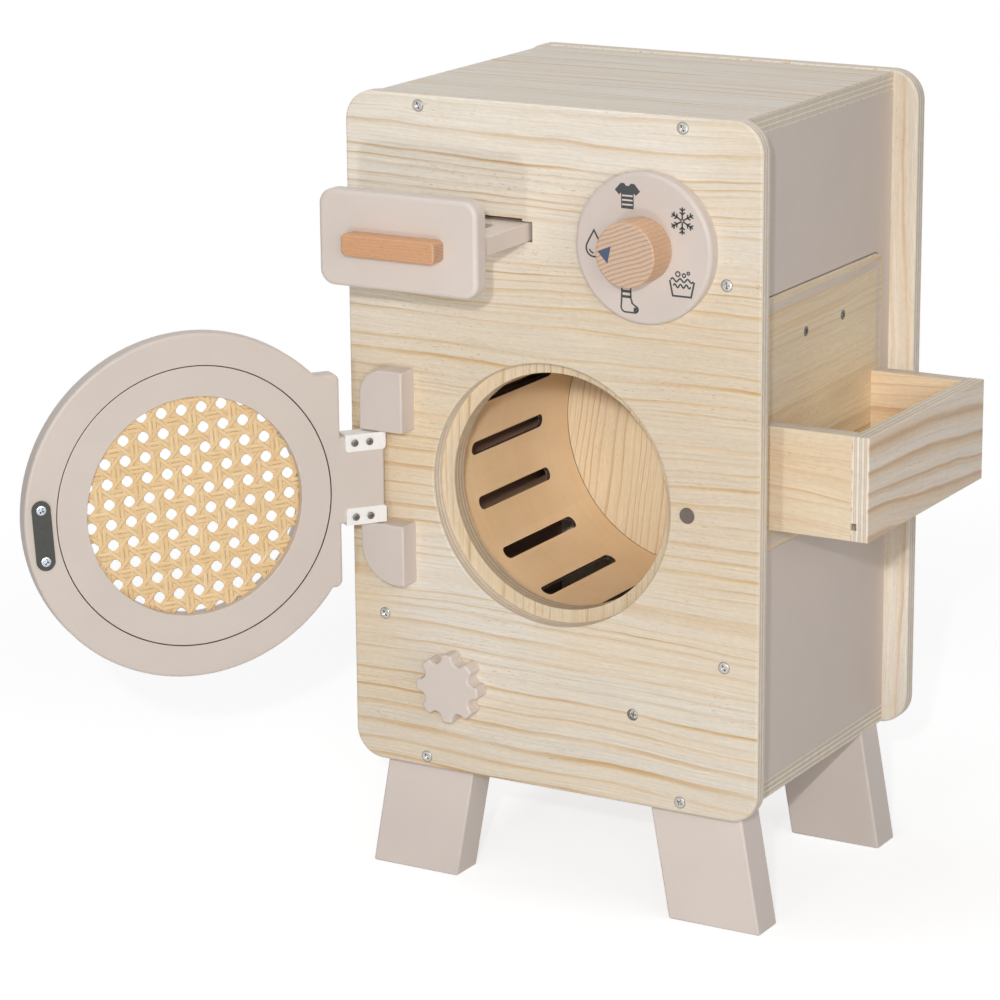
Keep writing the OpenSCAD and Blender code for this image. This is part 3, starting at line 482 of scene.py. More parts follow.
def joined(node, place="still"):
    """A CAD node's skin with its flat areas made whole, in millimetres."""
    skin = closed_skin(node)
    skin.transform(PLACES[place])
    bmesh.ops.dissolve_limit(skin, angle_limit=radians(0.4), verts=skin.verts, edges=skin.edges)
    return skin


def inset(x, z, box, round_r):
    """How far inside a round-cornered rectangle (left, right, low, high) a point is."""
    left, right, low, high = box
    qx = abs(x - (left + right) / 2) - (right - left) / 2 + round_r
    qz = abs(z - (low + high) / 2) - (high - low) / 2 + round_r
    return round_r - hypot(max(qx, 0), max(qz, 0)) - min(max(qx, qz), 0)


def eased(node, body, slot, finish, arrises=(), place="still", rims=()):
    """Stands for a CAD node with its arrises rounded: (width, steps, test of an edge's middle and direction).

    rims are whole faces rounded along their outline: (width, steps, test of a face's middle and facing)."""
    skin = joined(node, place)
    skin.normal_update()
    curved = set()
    for edge in skin.edges:
        if len(edge.link_faces) == 2 and 0.002 < edge.calc_face_angle(0) < 0.45:
            curved.update(edge.link_faces)
    flat = skin.faces.layers.int.new("flat")
    for face in skin.faces:
        face[flat] = int(face not in curved)
    for width, steps, wanted in arrises:
        skin.normal_update()
        chosen = []
        for edge in skin.edges:
            if len(edge.link_faces) != 2 or edge.calc_face_angle_signed(0) < 0.6:
                continue
            a, b = (v.co for v in edge.verts)
            if wanted((a + b) / 2, (b - a).normalized()):
                chosen.append(edge)
        bevel = bmesh.ops.bevel(skin, geom=chosen, offset=width, segments=steps, profile=0.5, affect="EDGES",
                                clamp_overlap=False)
        for face in bevel["faces"]:
            face[flat] = 0
    for width, steps, wanted in rims:
        skin.normal_update()
        for face in [f for f in skin.faces if wanted(f.calc_center_median(), f.normal)]:
            bmesh.ops.translate(skin, verts=face.verts, vec=-width * face.normal)
            turns = [pi / 2 * k / steps for k in range(steps + 1)]
            for a, b in zip(turns, turns[1:]):
                ring = bmesh.ops.inset_individual(skin, faces=[face], thickness=width * (cos(a) - cos(b)),
                                                  depth=width * (sin(b) - sin(a)), use_even_offset=True)
                for strip in ring["faces"]:
                    strip[flat] = 0
    skin.normal_update()
    for edge in skin.edges:
        flats = [f[flat] for f in edge.link_faces]
        edge.smooth = len(flats) == 2 and not any(flats) and edge.calc_face_angle(0) < 0.6
    for face in skin.faces:
        face.smooth = True
    skin.transform(PLACES[place].inverted())
    carried(made(node + "_eased", skin, finish), body, slot, node)


def recoated(node, finish):
    """Gives a CAD node that is shown as it is its finish."""
    NODES[node].data.materials.clear()
    NODES[node].data.materials.append(finish)


# ---- screws and cane, by geometry nodes

def begun(name, *inputs):
    """A geometry node tree with named float inputs, what adds its nodes, and its inputs by name."""
    tree = bpy.data.node_groups.new(name, "GeometryNodeTree")
    add = adder(tree)
    tree.interface.new_socket("Geometry", in_out="OUTPUT", socket_type="NodeSocketGeometry")
    for name in ("Geometry", *inputs, "Material"):
        kind = name if name in ("Geometry", "Material") else "Float"
        tree.interface.new_socket(name, in_out="INPUT", socket_type="NodeSocket" + kind)
    return tree, add, {socket.name: socket for socket in add("NodeGroupInput").node.outputs}


def ended(tree, add, size, shape):
    """Ends a geometry node tree: real geometry with its material."""
    add("NodeGroupOutput", add("SetMaterial", add("RealizeInstances", shape), Material=size["Material"]))
    return tree


def screw_tree():
    """Cross-head screws on points: a countersunk head with a raised face and a cut cross, and a shank."""
    tree, add, size = begun("cross-head screws", "Head Width", "Head Depth", "Head Rise", "Shank Width",
                            "Shank Length", "Cross Width", "Cross Bar", "Cross Depth")
    half_head, half_shank = (add("Math MULTIPLY", size[wide], 0.5) for wide in ("Head Width", "Shank Width"))
    rim = 0.00025
    cone_deep = add("Math SUBTRACT", size["Head Depth"], rim)
    cone = add("MeshCone", Vertices=32, Radius_Top=add("Math MULTIPLY", half_head, 0.985),
               Radius_Bottom=half_shank, Depth=cone_deep)
    down = add("Math MULTIPLY", size["Head Depth"], -1.0)
    cone = add("Transform", cone, Translation=add("CombineXYZ", 0, 0, down))
    edge = add("MeshCylinder", Vertices=32, Radius=half_head, Depth=1.5 * rim)
    edge = add("Transform", edge, Translation=(0, 0, -0.75 * rim))
    # a spherical cap from a squashed ball, half of it inside the head
    ball = add("MeshUVSphere", Segments=32, Rings=12, Radius=1.0)
    wide = add("Math MULTIPLY", half_head, 0.97)
    ball = add("Transform", ball, Scale=add("CombineXYZ", wide, wide, size["Head Rise"]))
    shank = add("MeshCylinder", Vertices=16, Radius=half_shank, Depth=size["Shank Length"])
    middle = add("Math MULTIPLY_ADD", size["Shank Length"], -0.5, down)
    shank = add("Transform", shank, Translation=add("CombineXYZ", 0, 0, middle))
    deep = add("Math MULTIPLY", size["Cross Depth"], 2.0)
    bar = add("MeshCube", add("CombineXYZ", size["Cross Width"], size["Cross Bar"], deep))
    bars = [add("Transform", bar, Rotation=(0, 0, turn)) for turn in (0, pi / 2)]
    solid = add("MeshBoolean", [cone, edge, ball], operation="UNION", solver="EXACT")
    cut = add("MeshBoolean", solid, bars, operation="DIFFERENCE", solver="EXACT")
    screw = add("JoinGeometry", [shank, cut])
    facing = add("InputNamedAttribute", "facing", data_type="FLOAT_VECTOR")
    turned = add("AlignRotationToVector", Vector=facing, axis="Z")
    placed = add("InstanceOnPoints", size["Geometry"], Instance=screw, Rotation=turned)
    spin = add("RandomValue", 0.0, pi, Seed=4)
    spun = add("RotateInstances", placed, Rotation=add("CombineXYZ", 0, 0, spin), Local_Space=True)
    return ended(tree, add, size, spun)


def cane_tree():
    """Six-way cane webbing, flat in XY: pairs of strands along and across, single ones on both slants."""
    tree, add, size = begun("six-way cane webbing", "Reach", "Pitch", "Pair Apart", "Strand Width",
                            "Slant Width", "Strand Thickness", "Rise", "Slant Rise", "Shift X", "Shift Y",
                            "Turn")
    families = []
    twice = add("Math MULTIPLY", size["Reach"], 2.0)
    count = add("Math ADD", add("Math DIVIDE", twice, size["Pitch"]), 4.0)
    odd = add("Math FLOOR", add("Math MULTIPLY", count, 0.5))
    far = add("Math MULTIPLY", size["Reach"], 1.15)
    line = add("CurvePrimitiveLine", Start=add("CombineXYZ", add("Math MULTIPLY", far, -1.0)),
               End=add("CombineXYZ", far))
    steps = add("Math MULTIPLY", add("Math DIVIDE", twice, size["Pitch"]), 9.0)
    line = add("ResampleCurve", line, Count=steps)
    position = add("InputPosition")
    x, y, _ = add("SeparateXYZ", position).node.outputs
    # each family: turn of its strands, how close to the pitch they lie, offset in pitches, pair side, wave
    # along, row across, and where in a wave it starts or, for the slants, which way the wave goes
    slant = pi / 4
    for turn, close, offset, pair, wave_of, row_of, phase in (
            (0, 1, 0, -0.5, x, y, 1.0), (0, 1, 0, 0.5, x, y, 1.0),
            (pi / 2, 1, 0, -0.5, y, x, 0.0), (pi / 2, 1, 0, 0.5, y, x, 0.0),
            (slant, sqrt(0.5), 0.5, 0, x, None, 1.0), (-slant, sqrt(0.5), 0.5, 0, x, None, -1.0)):
        gap = add("Math MULTIPLY", size["Pitch"], close)
        half = odd if close == 1 else add("Math FLOOR", add("Math MULTIPLY", odd, 1.45))
        first = add("Math MULTIPLY", add("Math MULTIPLY_ADD", half, -1.0, offset), gap)
        first = add("Math MULTIPLY_ADD", size["Pair Apart"], pair, first)
        starts = add("MeshLine", Count=add("Math MULTIPLY_ADD", half, 2.0, 1.0),
                     Start_Location=add("CombineXYZ", 0, first), Offset=add("CombineXYZ", 0, gap))
        strands = add("RealizeInstances", add("InstanceOnPoints", starts, Instance=line))
        strands = add("Transform", strands, Rotation=(0, 0, turn))
        # the lattice's own coordinates still stand square here, so the waves are simple
        turns = add("Math DIVIDE", wave_of, size["Pitch"])
        if row_of:
            row = add("Math ROUND", add("Math DIVIDE", row_of, size["Pitch"]))
            turns = add("Math ADD", add("Math ADD", turns, row), phase)
            lift = add("Math MULTIPLY", add("Math COSINE", add("Math MULTIPLY", turns, pi)), size["Rise"])
        else:
            wave = add("Math COSINE", add("Math MULTIPLY", turns, 2 * pi))
            lift = add("Math MULTIPLY", add("Math MULTIPLY", wave, size["Slant Rise"]), phase)
        strands = add("SetPosition", strands, Offset=add("CombineXYZ", 0, 0, lift))
        strands = add("Transform", strands, Rotation=add("CombineXYZ", 0, 0, size["Turn"]))
        strands = add("Transform", strands, Translation=add("CombineXYZ", size["Shift X"], size["Shift Y"]))
        outside = add("Math GREATER_THAN", add("VectorMath LENGTH", position), size["Reach"])
        kept = add("DeleteGeometry", strands, outside)
        so_far = add("SplineParameter", out="Length")
        kept = add("StoreNamedAttribute", kept, Name="strand_along", Value=so_far)
        luck = add("RandomValue", 0.0, 1.0, Seed=11 + len(families))
        kept = add("StoreNamedAttribute", kept, Name="strand_tint", Value=luck, domain="CURVE")
        # strand section: an eight-sided flat oval
        section = add("CurvePrimitiveCircle", Resolution=8, Radius=0.5)
        wide = size["Strand Width" if row_of else "Slant Width"]
        section = add("Transform", section, Scale=add("CombineXYZ", wide, size["Strand Thickness"], 1.0))
        around = add("SplineParameter", out="Factor")
        section = add("StoreNamedAttribute", section, Name="strand_side", Value=around)
        upright = add("SetCurveNormal", kept, mode="Z_UP")
        families.append(add("CurveToMesh", upright, section, Fill_Caps=True))
    return ended(tree, add, size, add("SetShadeSmooth", add("JoinGeometry", families), Shade_Smooth=True))


def grown(tree, name, points, facing, settings, finish):
    """Runs a geometry node tree on points that face one way and returns its result as a plain mesh object."""
    mesh = bpy.data.meshes.new(name)
    mesh.from_pydata([tuple(p) for p in points], [], [])
    for way in mesh.attributes.new("facing", "FLOAT_VECTOR", "POINT").data:
        way.vector = facing
    seedling = put(name, mesh)
    grower = seedling.modifiers.new("grower", "NODES")
    grower.node_group = tree
    sockets = {item.name: item.identifier for item in tree.interface.items_tree if item.in_out == "INPUT"}
    for key, value in (settings | {"Material": finish}).items():
        grower[sockets[key]] = value
    bpy.context.view_layer.update()
    result = bpy.data.meshes.new_from_object(seedling.evaluated_get(bpy.context.evaluated_depsgraph_get()))
    seedling.modifiers.remove(grower)
    seedling.data = result
    return seedling


def screw_heads(node, facing):
    """The middle of each screw head's face in a CAD node, in metres, for screws that all face one way."""
    skin, facing = closed_skin(node), Vector(facing)
    seen, heads = set(), []
    for start in skin.verts:
        if start in seen:
            continue
        island, edge_of = set(), [start]
        while edge_of:
            vert = edge_of.pop()
            island.add(vert)
            edge_of += [n for n in (e.other_vert(vert) for e in vert.link_edges) if n not in island]
        seen |= island
        top = max(v.co.dot(facing) for v in island)
        rim = [v.co for v in island if v.co.dot(facing) > top - 2e-5]
        low, high = (Vector(end(c[i] for c in rim) for i in range(3)) for end in (min, max))
        heads.append((low + high) / 2)
    skin.free()
    return heads


def screwed(node, body, slot, finish, facing, head, shank, rise=0.00035, cross=0.62):
    """Stands for a CAD node of screws that face one way; head is (width, depth), shank (width, length)."""
    sizes = {"Head Width": head[0], "Head Depth": head[1], "Head Rise": rise,
             "Shank Width": shank[0], "Shank Length": shank[1],
             "Cross Width": head[0] * cross, "Cross Bar": head[0] * 0.15, "Cross Depth": head[1] * 0.62}
    screws = grown(SCREW_TREE, node + "_turned", screw_heads(node, facing), facing, sizes, finish)
    carried(screws, body, slot, node)


# ---- printed marks

def mark_line(skin, points, width, shut=False):
    """A line of even width through points, as quads joined at their corners."""
    n = len(points)
    rails = []
    for i, (x, z) in enumerate(points):
        before = points[i - 1] if i or shut else None
        after = points[(i + 1) % n] if i < n - 1 or shut else None
        ways = [Vector((b[0] - a[0], b[1] - a[1])).normalized()
                for a, b in ((before, (x, z)), ((x, z), after)) if a and b]
        way = (ways[0] + ways[-1]).normalized()
        out = Vector((-way.y, way.x)) * width / 2 / max(0.4, way.dot(ways[0]))
        rails.append((skin.verts.new((x + out.x, 0, z + out.y)), skin.verts.new((x - out.x, 0, z - out.y))))
    pairs = zip(rails, rails[1:] + rails[:1] if shut else rails[1:])
    for (a, b), (c, d) in pairs:
        skin.faces.new((b, d, c, a))


def mark_fill(skin, points):
    """A filled outline."""
    skin.faces.new([skin.verts.new((x, 0, z)) for x, z in points])


def arc(cx, cz, r, start, end, steps=20, squash=1.0):
    """Points on an arc, in degrees."""
    turns = [radians(start + (end - start) * i / steps) for i in range(steps + 1)]
    return [(cx + r * cos(t), cz + r * squash * sin(t)) for t in turns]


def snowflake(skin):
    """Cold wash."""
    for k in range(6):
        a = radians(60 * k + 30)
        tip = (7.6 * cos(a), 7.6 * sin(a))
        mark_line(skin, [(0.5 * cos(a), 0.5 * sin(a)), tip], 0.9375)
        for reach in (3.6, 5.6):
            for side in (-1, 1):
                b = a + side * radians(52)
                root = (reach * cos(a), reach * sin(a))
                mark_line(skin, [root, (root[0] + 2.1 * cos(b), root[1] + 2.1 * sin(b))], 0.8125)


def shirt(skin):
    """Everyday clothes."""
    body = [(-3.9, -7.2), (3.9, -7.2), (3.9, 1.6), (5.3, 0.4), (7.9, 3.0), (4.2, 7.0), (2.0, 7.0), (1.2, 5.9),
            (0, 5.5), (-1.2, 5.9), (-2.0, 7.0), (-4.2, 7.0), (-7.9, 3.0), (-5.3, 0.4), (-3.9, 1.6)]
    mark_fill(skin, body)


def shirt_stripes(skin):
    """Pale stripes over the shirt."""
    for z in (-4.9, -2.4, 0.1):
        mark_line(skin, [(-3.3, z), (3.3, z)], 0.875)


def drop(skin):
    """Rinse."""
    sides = arc(0, -2.2, 4.9, 155, 385, 28)
    outline = sides + [(2.9, 2.9), (0.9, 6.4), (0, 8.0), (-0.9, 6.4), (-2.9, 2.9)]
    mark_line(skin, outline, 1.0, shut=True)
    mark_line(skin, arc(0, -2.2, 2.9, 195, 265, 8), 0.875)


def sock(skin):
    """Small things."""
    outline = [(-3.4, 7.6), (2.0, 7.6), (2.2, 0.4), *arc(0.6, -1.6, 2.3, 30, -12, 5), (5.4, -3.9),
               *arc(4.9, -5.6, 1.9, 60, -90, 8), (-0.6, -7.5), *arc(-1.0, -4.6, 2.9, 262, 178, 8),
               (-3.6, -1.2)]
    mark_line(skin, outline, 0.9375, shut=True)
    mark_fill(skin, [(-3.3, 5.0), (2.0, 5.0), (2.0, 3.5), (-3.3, 3.5)])
    mark_fill(skin, [(-3.4, 2.0), (2.1, 2.0), (2.1, 0.5), (-3.4, 0.5)])
    mark_fill(skin, [(4.1, -4.6)] + arc(4.9, -5.6, 1.5, 50, -90, 8) + [(3.9, -7.1)])


def wash_tub(skin):
    """Hand wash."""
    mark_line(skin, [(-7.6, 2.2), (-5.7, -6.4), (5.7, -6.4), (7.6, 2.2)], 1.0625)
    for row, start in ((2.6, -7.0), (-0.6, -5.4)):
        width = -2 * start
        wave = [(start + width * i / 24, row + 0.95 * sin(2 * pi * 3 * i / 24)) for i in range(25)]
        mark_line(skin, wave, 0.9375)
    for cx, cz, r in ((-2.6, 6.0, 1.35), (1.2, 5.5, 1.0), (3.9, 6.9, 0.8)):
        mark_line(skin, arc(cx, cz, r, 0, 342, 14), 0.75, shut=True)


def printed(name, body, slot, finish, face_y, marks, proud=0.1, size=1.0):
    """Marks drawn flat on a board's face, a film of ink a little proud of it: each is (drawing, x, z)."""
    skin = bmesh.new()
    for drawing, x, z in marks:
        before = len(skin.verts)
        drawing(skin)
        skin.verts.ensure_lookup_table()
        for vert in skin.verts[before:]:
            vert.co = size * vert.co + Vector((x, 0, z))
    skin.normal_update()
    for face in skin.faces:
        if face.normal.y > 0:
            face.normal_flip()
    tops = list(skin.faces)
    raised = bmesh.ops.extrude_face_region(skin, geom=tops, use_keep_orig=True)
    for item in raised["geom"]:
        if isinstance(item, bmesh.types.BMVert):
            item.co.y -= proud
    bmesh.ops.recalc_face_normals(skin, faces=skin.faces)
    bmesh.ops.translate(skin, verts=skin.verts, vec=(0, face_y, 0))
    skin.transform(TO_MM.inverted())
    carried(made(name, skin, finish), body, slot)


# ---- making it

PINE = "Lacquered pine plywood"
ENAMEL = "Greige enamel"
# soft areas painted paler or warmer on the front: x, z, how far, how much, colour. The two pale ones along the
# top are painted light; the others make the veneer warmer or paler in places
FRONT_TINTS_AND_PAINTED_LIGHT = [(-120, 250, 190, 0.6, "#EBD3AE"), (120, 325, 170, 0.9, "#DFCEB6"),
               (-20, 385, 120, 0.7, "#E0D2BC"), (-60, 200, 95, 0.8, "#EAE4DA"),
               (-105, 515, 170, 1.0, "#F6EEE0"), (60, 545, 90, 0.7, "#F3ECE2")]
pine_front = pine_plywood(PINE + ", front", "X", "Y", FRONT, lean=0.6, seed=2.0, ring=9.5, sure=0.3,
                          late="#C99F62", soft=0.62, tints_and_painted_light=FRONT_TINTS_AND_PAINTED_LIGHT, screws=FRONT_SCREWS)
pine_back = pine_plywood(PINE + ", back", "Z", "Y", BACK - BOARD, seed=5.0)
pine_top = pine_plywood(PINE + ", top", "X", "Z", TOP_UNDERSIDE, seed=9.0, wave=0.5, ring=14, cream="#E7DED1",
                        warm="#E6D2B6", late="#B9936A", plugs=TOP_PLUGS)
pine_low = pine_plywood(PINE + ", bottom", "X", "Z", BOTTOM_UNDERSIDE, seed=12.0)
pine_ring = pine_plywood(PINE + ", opening ring", "Z", "Y", FRONT + BOARD, seed=15.0, ring=7, cream="#E3D2B7",
                         warm="#DFC49B", late="#B8905F", ends=("#E6D6BD", "#CEB899"))
# the side plate is painted lighter and warmer in a soft patch inside the tray, painted light
pine_plate = pine_plywood(PINE + ", side plate", "Y", "X", PLATE_IN, thick=PLATE_OUT - PLATE_IN, seed=21.0,
                          lean=2, ring=15, cream="#EAD9BF", warm="#EACCA1", soft=0.75, strong=0.35,
                          tints_and_painted_light=[(25, 300, 125, 1.0, "#FFEBC6")],
                          painted_band=(PLATE_OUTLINE, PLATE_ROUND, 4, 9.5))
pine_tray = pine_plywood(PINE + ", tray front", "Y", "X", TRAY_IN, seed=26.0, lean=-2, ring=17,
                         cream="#F2E5D5", warm="#E2C19B", late="#C39B72", soft=0.9, sure=0.85, edge=0.8,
                         wave=1.4)
pine_tray_end = pine_plywood(PINE + ", tray near end", "X", "Y", TRAY_NEAR, seed=31.0, lean=-3, wave=1.8,
                             ring=11, cream="#E8D6BA", warm="#E5C395", late="#CB9863", strong=0.7)
# the tray's far end is painted lighter than the other tray walls, painted light inside the tray
pine_tray_far_painted_lighter = pine_plywood(PINE + ", tray far end", "X", "Y", TRAY_FAR, seed=33.0, cream="#FDE6C6",
                             warm="#F9D6AB", late="#DAAB78")
pine_tray_base = pine_plywood(PINE + ", tray base", "Y", "Z", TRAY_FLOOR, thick=4.5, seed=37.0)
pine_disc = pine_plywood(PINE + ", drum disc", "Z", "Y", DISC_FRONT, thick=DISC_THICK, seed=41.0, lean=9,
                         ring=5.5, sure=0.4, wave=1.3, cream="#CEBC9F", warm="#C7A982", late="#A1784F")
# one ply 400 mm thick: no seam shows on the hidden boards
pine_inner = pine_plywood("Bare pine plywood, hidden boards", "X", "Z", 300, thick=400, seed=45.0)
enamel = greige_enamel(ENAMEL)
# copies of the same greige paint, painted light and shade: lighter on the legs, darker on the dial and hinge
# blocks, on the door and on the right side
enamel_legs_painted_lighter = greige_enamel(ENAMEL + ", legs", "#E0D4CC")
enamel_dial_painted_darker = greige_enamel(ENAMEL + ", dial and hinge blocks", "#D5C9C1")
# in the joint between the door's ring and its clamp ring, on the back of the door, the coat is coloured dark
# brown
enamel_door_painted_darker = greige_enamel(ENAMEL + ", door", "#CEC2B9",
                            joint=(*DOOR_MIDDLE, CLAMP_R - 0.65, CLAMP_R + 0.1, DOOR_OUT + 3), place="door")
enamel_left = greige_enamel(ENAMEL + ", left side", bare=("X", -SIDE_BARE, 1, "#8E6E58"))
enamel_right_painted_darker = greige_enamel(ENAMEL + ", right side", "#D6C8BE", bare=("X", SIDE_BARE, -1, "#CBBBA6"))
beech_knob = turned_beech("Turned beech, dial knob", (-0.37, 0, 0.93), "Y", pale="#D2B49C", red="#DAB08E",
                          line="#94705A", spacing=2.8)
beech_handle = turned_beech("Moulded beech, handle", (0.0, 0.35, 0.94), "X", pale="#C29B80", red="#D5A27A",
                            line="#A87650", seed=3.0)
beech_peg = turned_beech("Turned beech, pegs", (0.3, 0.9, 0), "Z")
veneer = bent_drum_veneer()
cane = rattan_cane()
zinc = plain_metal("Zinc-plated steel", "#BDBBB7", 0.34)
zinc_bright = plain_metal("Bright zinc-plated steel", "#C6CCD4", 0.26)
dark_steel = plain_metal("Black phosphated steel", "#4B4B48", 0.42, metallic=0.7)
magnet_steel = plain_metal("Nickel-plated magnet", "#6F655D", 0.4, metallic=0.7)
tarnished = plain_metal("Tarnished zinc-plated steel", "#77726D", 0.38, metallic=0.9)
white_steel = plain_metal("White powder-coated steel", "#F1EEEA", 0.42, grit=6, metallic=0.0, spread=0.02)
nylon = plain_metal("Moulded nylon", "#E4E2DC", 0.45, grit=8, metallic=0.0, spread=0.02)
ink = printed_ink("Charcoal pad-print ink", "#3E4343")
ink_blue = printed_ink("Slate blue pad-print ink", "#47526C")
ink_pale = printed_ink("Greige pad-print ink", "#D9CEC6")

# a piece's body and material slot
WOOD = ("cabinet", "pine_plywood")
PAINT = ("cabinet", "painted_board")
DOOR_PAINT = ("door", "painted_board")


def outline(box, round_r, y):
    """A test for edges along a round-cornered outline at depth y."""
    return lambda m, d: abs(m.y - y) < 0.05 and abs(inset(m.x, m.z, box, round_r)) < 0.12


def circle(middle, r, y, slack=0.25):
    """A test for edges on a circle at depth y."""
    return lambda m, d: abs(m.y - y) < 0.05 and abs(hypot(m.x - middle[0], m.z - middle[1]) - r) < slack


def either(*tests):
    """A test for edges that pass one of several tests."""
    return lambda m, d: any(test(m, d) for test in tests)


def door_outline(m, d):
    """The door's outline and its hinge tab, but not the corners under the two brackets."""
    outside = hypot(m.x, m.z - DOOR_MIDDLE[1]) > DOOR_R - 0.3 or m.x < TAB_FROM
    seated = any(hypot(m.x - x, abs(m.z - HINGE_HEIGHT) - HINGE_APART) < 4 for x in BRACKET_SEATS)
    return min(abs(m.y - DOOR_OUT), abs(m.y - DOOR_IN)) < 0.05 and outside and not seated


def block_edge(m, d):
    """The edges of a hinge block that are seen, but not its pin hole."""
    return m.y < BLOCK_BACK and hypot(m.x - HINGE.x, m.y - HINGE.y) > PIN_CLEAR


def drawer_board_edge(m, d):
    """The back and the long edges of the drawer's sliding board."""
    side = abs(m.x - (DRAWER_OUTLINE[0] + DRAWER_OUTLINE[1]) / 2) - DRAWER_BOARD_HALF
    return abs(m.y - DRAWER_BOARD_BACK) < 0.05 or (abs(side) < 0.05 and abs(d.y) > 0.9)


eased("front_panel", *WOOD, pine_front,
      [(1.6, 4, either(outline(PANEL, PANEL_ROUND, FRONT), outline(PANEL, PANEL_ROUND, FRONT + BOARD))),
       (1.0, 3, circle(OPENING, OPENING_R, FRONT))])
eased("back_panel", *WOOD, pine_back,
      [(1.6, 4, either(outline(PANEL, PANEL_ROUND, BACK), outline(PANEL, PANEL_ROUND, BACK - BOARD)))])
eased("top_panel", *WOOD, pine_top)
eased("bottom_panel", *WOOD, pine_low)
eased("left_side_panel", *PAINT, enamel_left)
eased("right_side_panel", *PAINT, enamel_right_painted_darker)
eased("opening_ring", *WOOD, pine_ring, [(0.6, 2, circle(OPENING, RING_R, FRONT + BOARD))])
for leg in ("leg_front_left", "leg_front_right", "leg_back_left", "leg_back_right"):
    eased(leg, *PAINT, enamel_legs_painted_lighter, [(1.4, 3, lambda m, d: m.z < LEG_TOP)])
for block in ("hinge_block_upper", "hinge_block_lower"):
    eased(block, *PAINT, enamel_dial_painted_darker, [(1.2, 3, block_edge)])
eased("dial_disc", *PAINT, enamel_dial_painted_darker, [(2.6, 5, circle(DIAL, DIAL_R, DIAL_FACE, 0.4))])
eased("side_plate", *WOOD, pine_plate,
      [(1.2, 3, lambda m, d: abs(m.x - PLATE_OUT) < 0.05
        and abs(inset(m.y, m.z, PLATE_OUTLINE, PLATE_ROUND)) < 0.15)])
eased("tray_front_wall", *WOOD, pine_tray,
      [(0.8, 2, lambda m, d: abs(m.x - TRAY_OUT) < 0.05 or (m.z > TRAY_TOP and abs(d.y) > 0.9))])
for wall, finish in (("tray_near_wall", pine_tray_end), ("tray_far_wall", pine_tray_far_painted_lighter)):
    eased(wall, *WOOD, finish, [(0.7, 2, lambda m, d: m.z > TRAY_TOP and abs(d.x) > 0.9)])
eased("door_ring", *DOOR_PAINT, enamel_door_painted_darker,
      [(1.8, 4, door_outline), (1.2, 3, circle(DOOR_MIDDLE, WINDOW_R, DOOR_OUT))], place="door")
eased("door_clamp_ring", *DOOR_PAINT, enamel_door_painted_darker,
      [(0.5, 2, either(circle(DOOR_MIDDLE, CLAMP_R - 0.4, DOOR_IN, 0.4),
                       circle(DOOR_MIDDLE, WINDOW_R, DOOR_IN)))],
      place="door")
for bracket in ("hinge_bracket_upper", "hinge_bracket_lower"):
    eased(bracket, "door", "white_steel", white_steel, place="door")
eased("strike_plate", "door", "dark_steel", dark_steel, place="door")
eased("drawer_front", "drawer", "painted_board", enamel,
      [(2.8, 5, outline(DRAWER_OUTLINE, DRAWER_ROUND, DRAWER_FRONT)),
       (1.2, 3, outline(DRAWER_OUTLINE, DRAWER_ROUND, DRAWER_FRONT + BOARD))])
eased("drawer_handle", "drawer", "beech", beech_handle, [(1.2, 3, lambda m, d: m.y < HANDLE_FRONT)])
eased("drawer_board", "drawer", "painted_board", enamel, [(0.8, 2, drawer_board_edge)])
eased("dial_knob", "programme_knob", "beech", beech_knob, [(0.9, 3, circle(DIAL, KNOB_R, KNOB_FACE, 0.3))])
eased("gear_knob", "spin_knob", "painted_board", enamel,
      rims=[(1.2, 4, lambda m, n: m.y < GEAR_FACE + 0.05 and n.y < -0.9)])
eased("drum_shell", "drum", "drum_veneer", veneer)
eased("drum_back_disc", "drum", "pine_plywood", pine_disc)
eased("door_magnet", "cabinet", "dark_steel", magnet_steel, [(0.3, 2, lambda m, d: m.y < MAGNET_FACE)])

# pieces that only show from inside or underneath keep their own shape
for finish, nodes in (
        (zinc, "leg_screws inner_screws hinge_pins spindle_washers shelf_screws handle_screws dial_bolt "
               "dial_nut gear_bolt gear_nut drum_axle axle_washer axle_nut"),
        (pine_low, "front_batten"), (pine_tray_base, "tray_base"), (nylon, "axle_bushing"),
        (pine_inner, "drawer_shelf drawer_runner_left drawer_runner_right axle_block"),
        (beech_peg, "drawer_dowels drawer_stop_peg drum_hub")):
    for node in nodes.split():
        recoated(node, finish)

SCREW_TREE = screw_tree()
door_back = (SHUT_TO_REST.to_3x3() @ Vector((0, 1, 0))).normalized()
board_screw = ((0.0071, 0.0025), (0.0035, 0.02))
screwed("front_screws", "cabinet", "zinc_steel", zinc, (0, -1, 0), *board_screw)
screwed("back_screws", "cabinet", "zinc_steel", zinc, (0, 1, 0), *board_screw)
screwed("side_plate_screws", "cabinet", "zinc_steel", tarnished, (1, 0, 0), (0.0068, 0.0024), (0.0034, 0.008))
screwed("strike_screws", "door", "zinc_steel", zinc_bright, door_back, (0.0064, 0.0022), (0.0028, 0.006),
        rise=0.0005)
screwed("bracket_screws", "door", "dark_steel", tarnished, door_back, (0.0048, 0.0012), (0.0026, 0.006),
        rise=0.0004, cross=0.55)

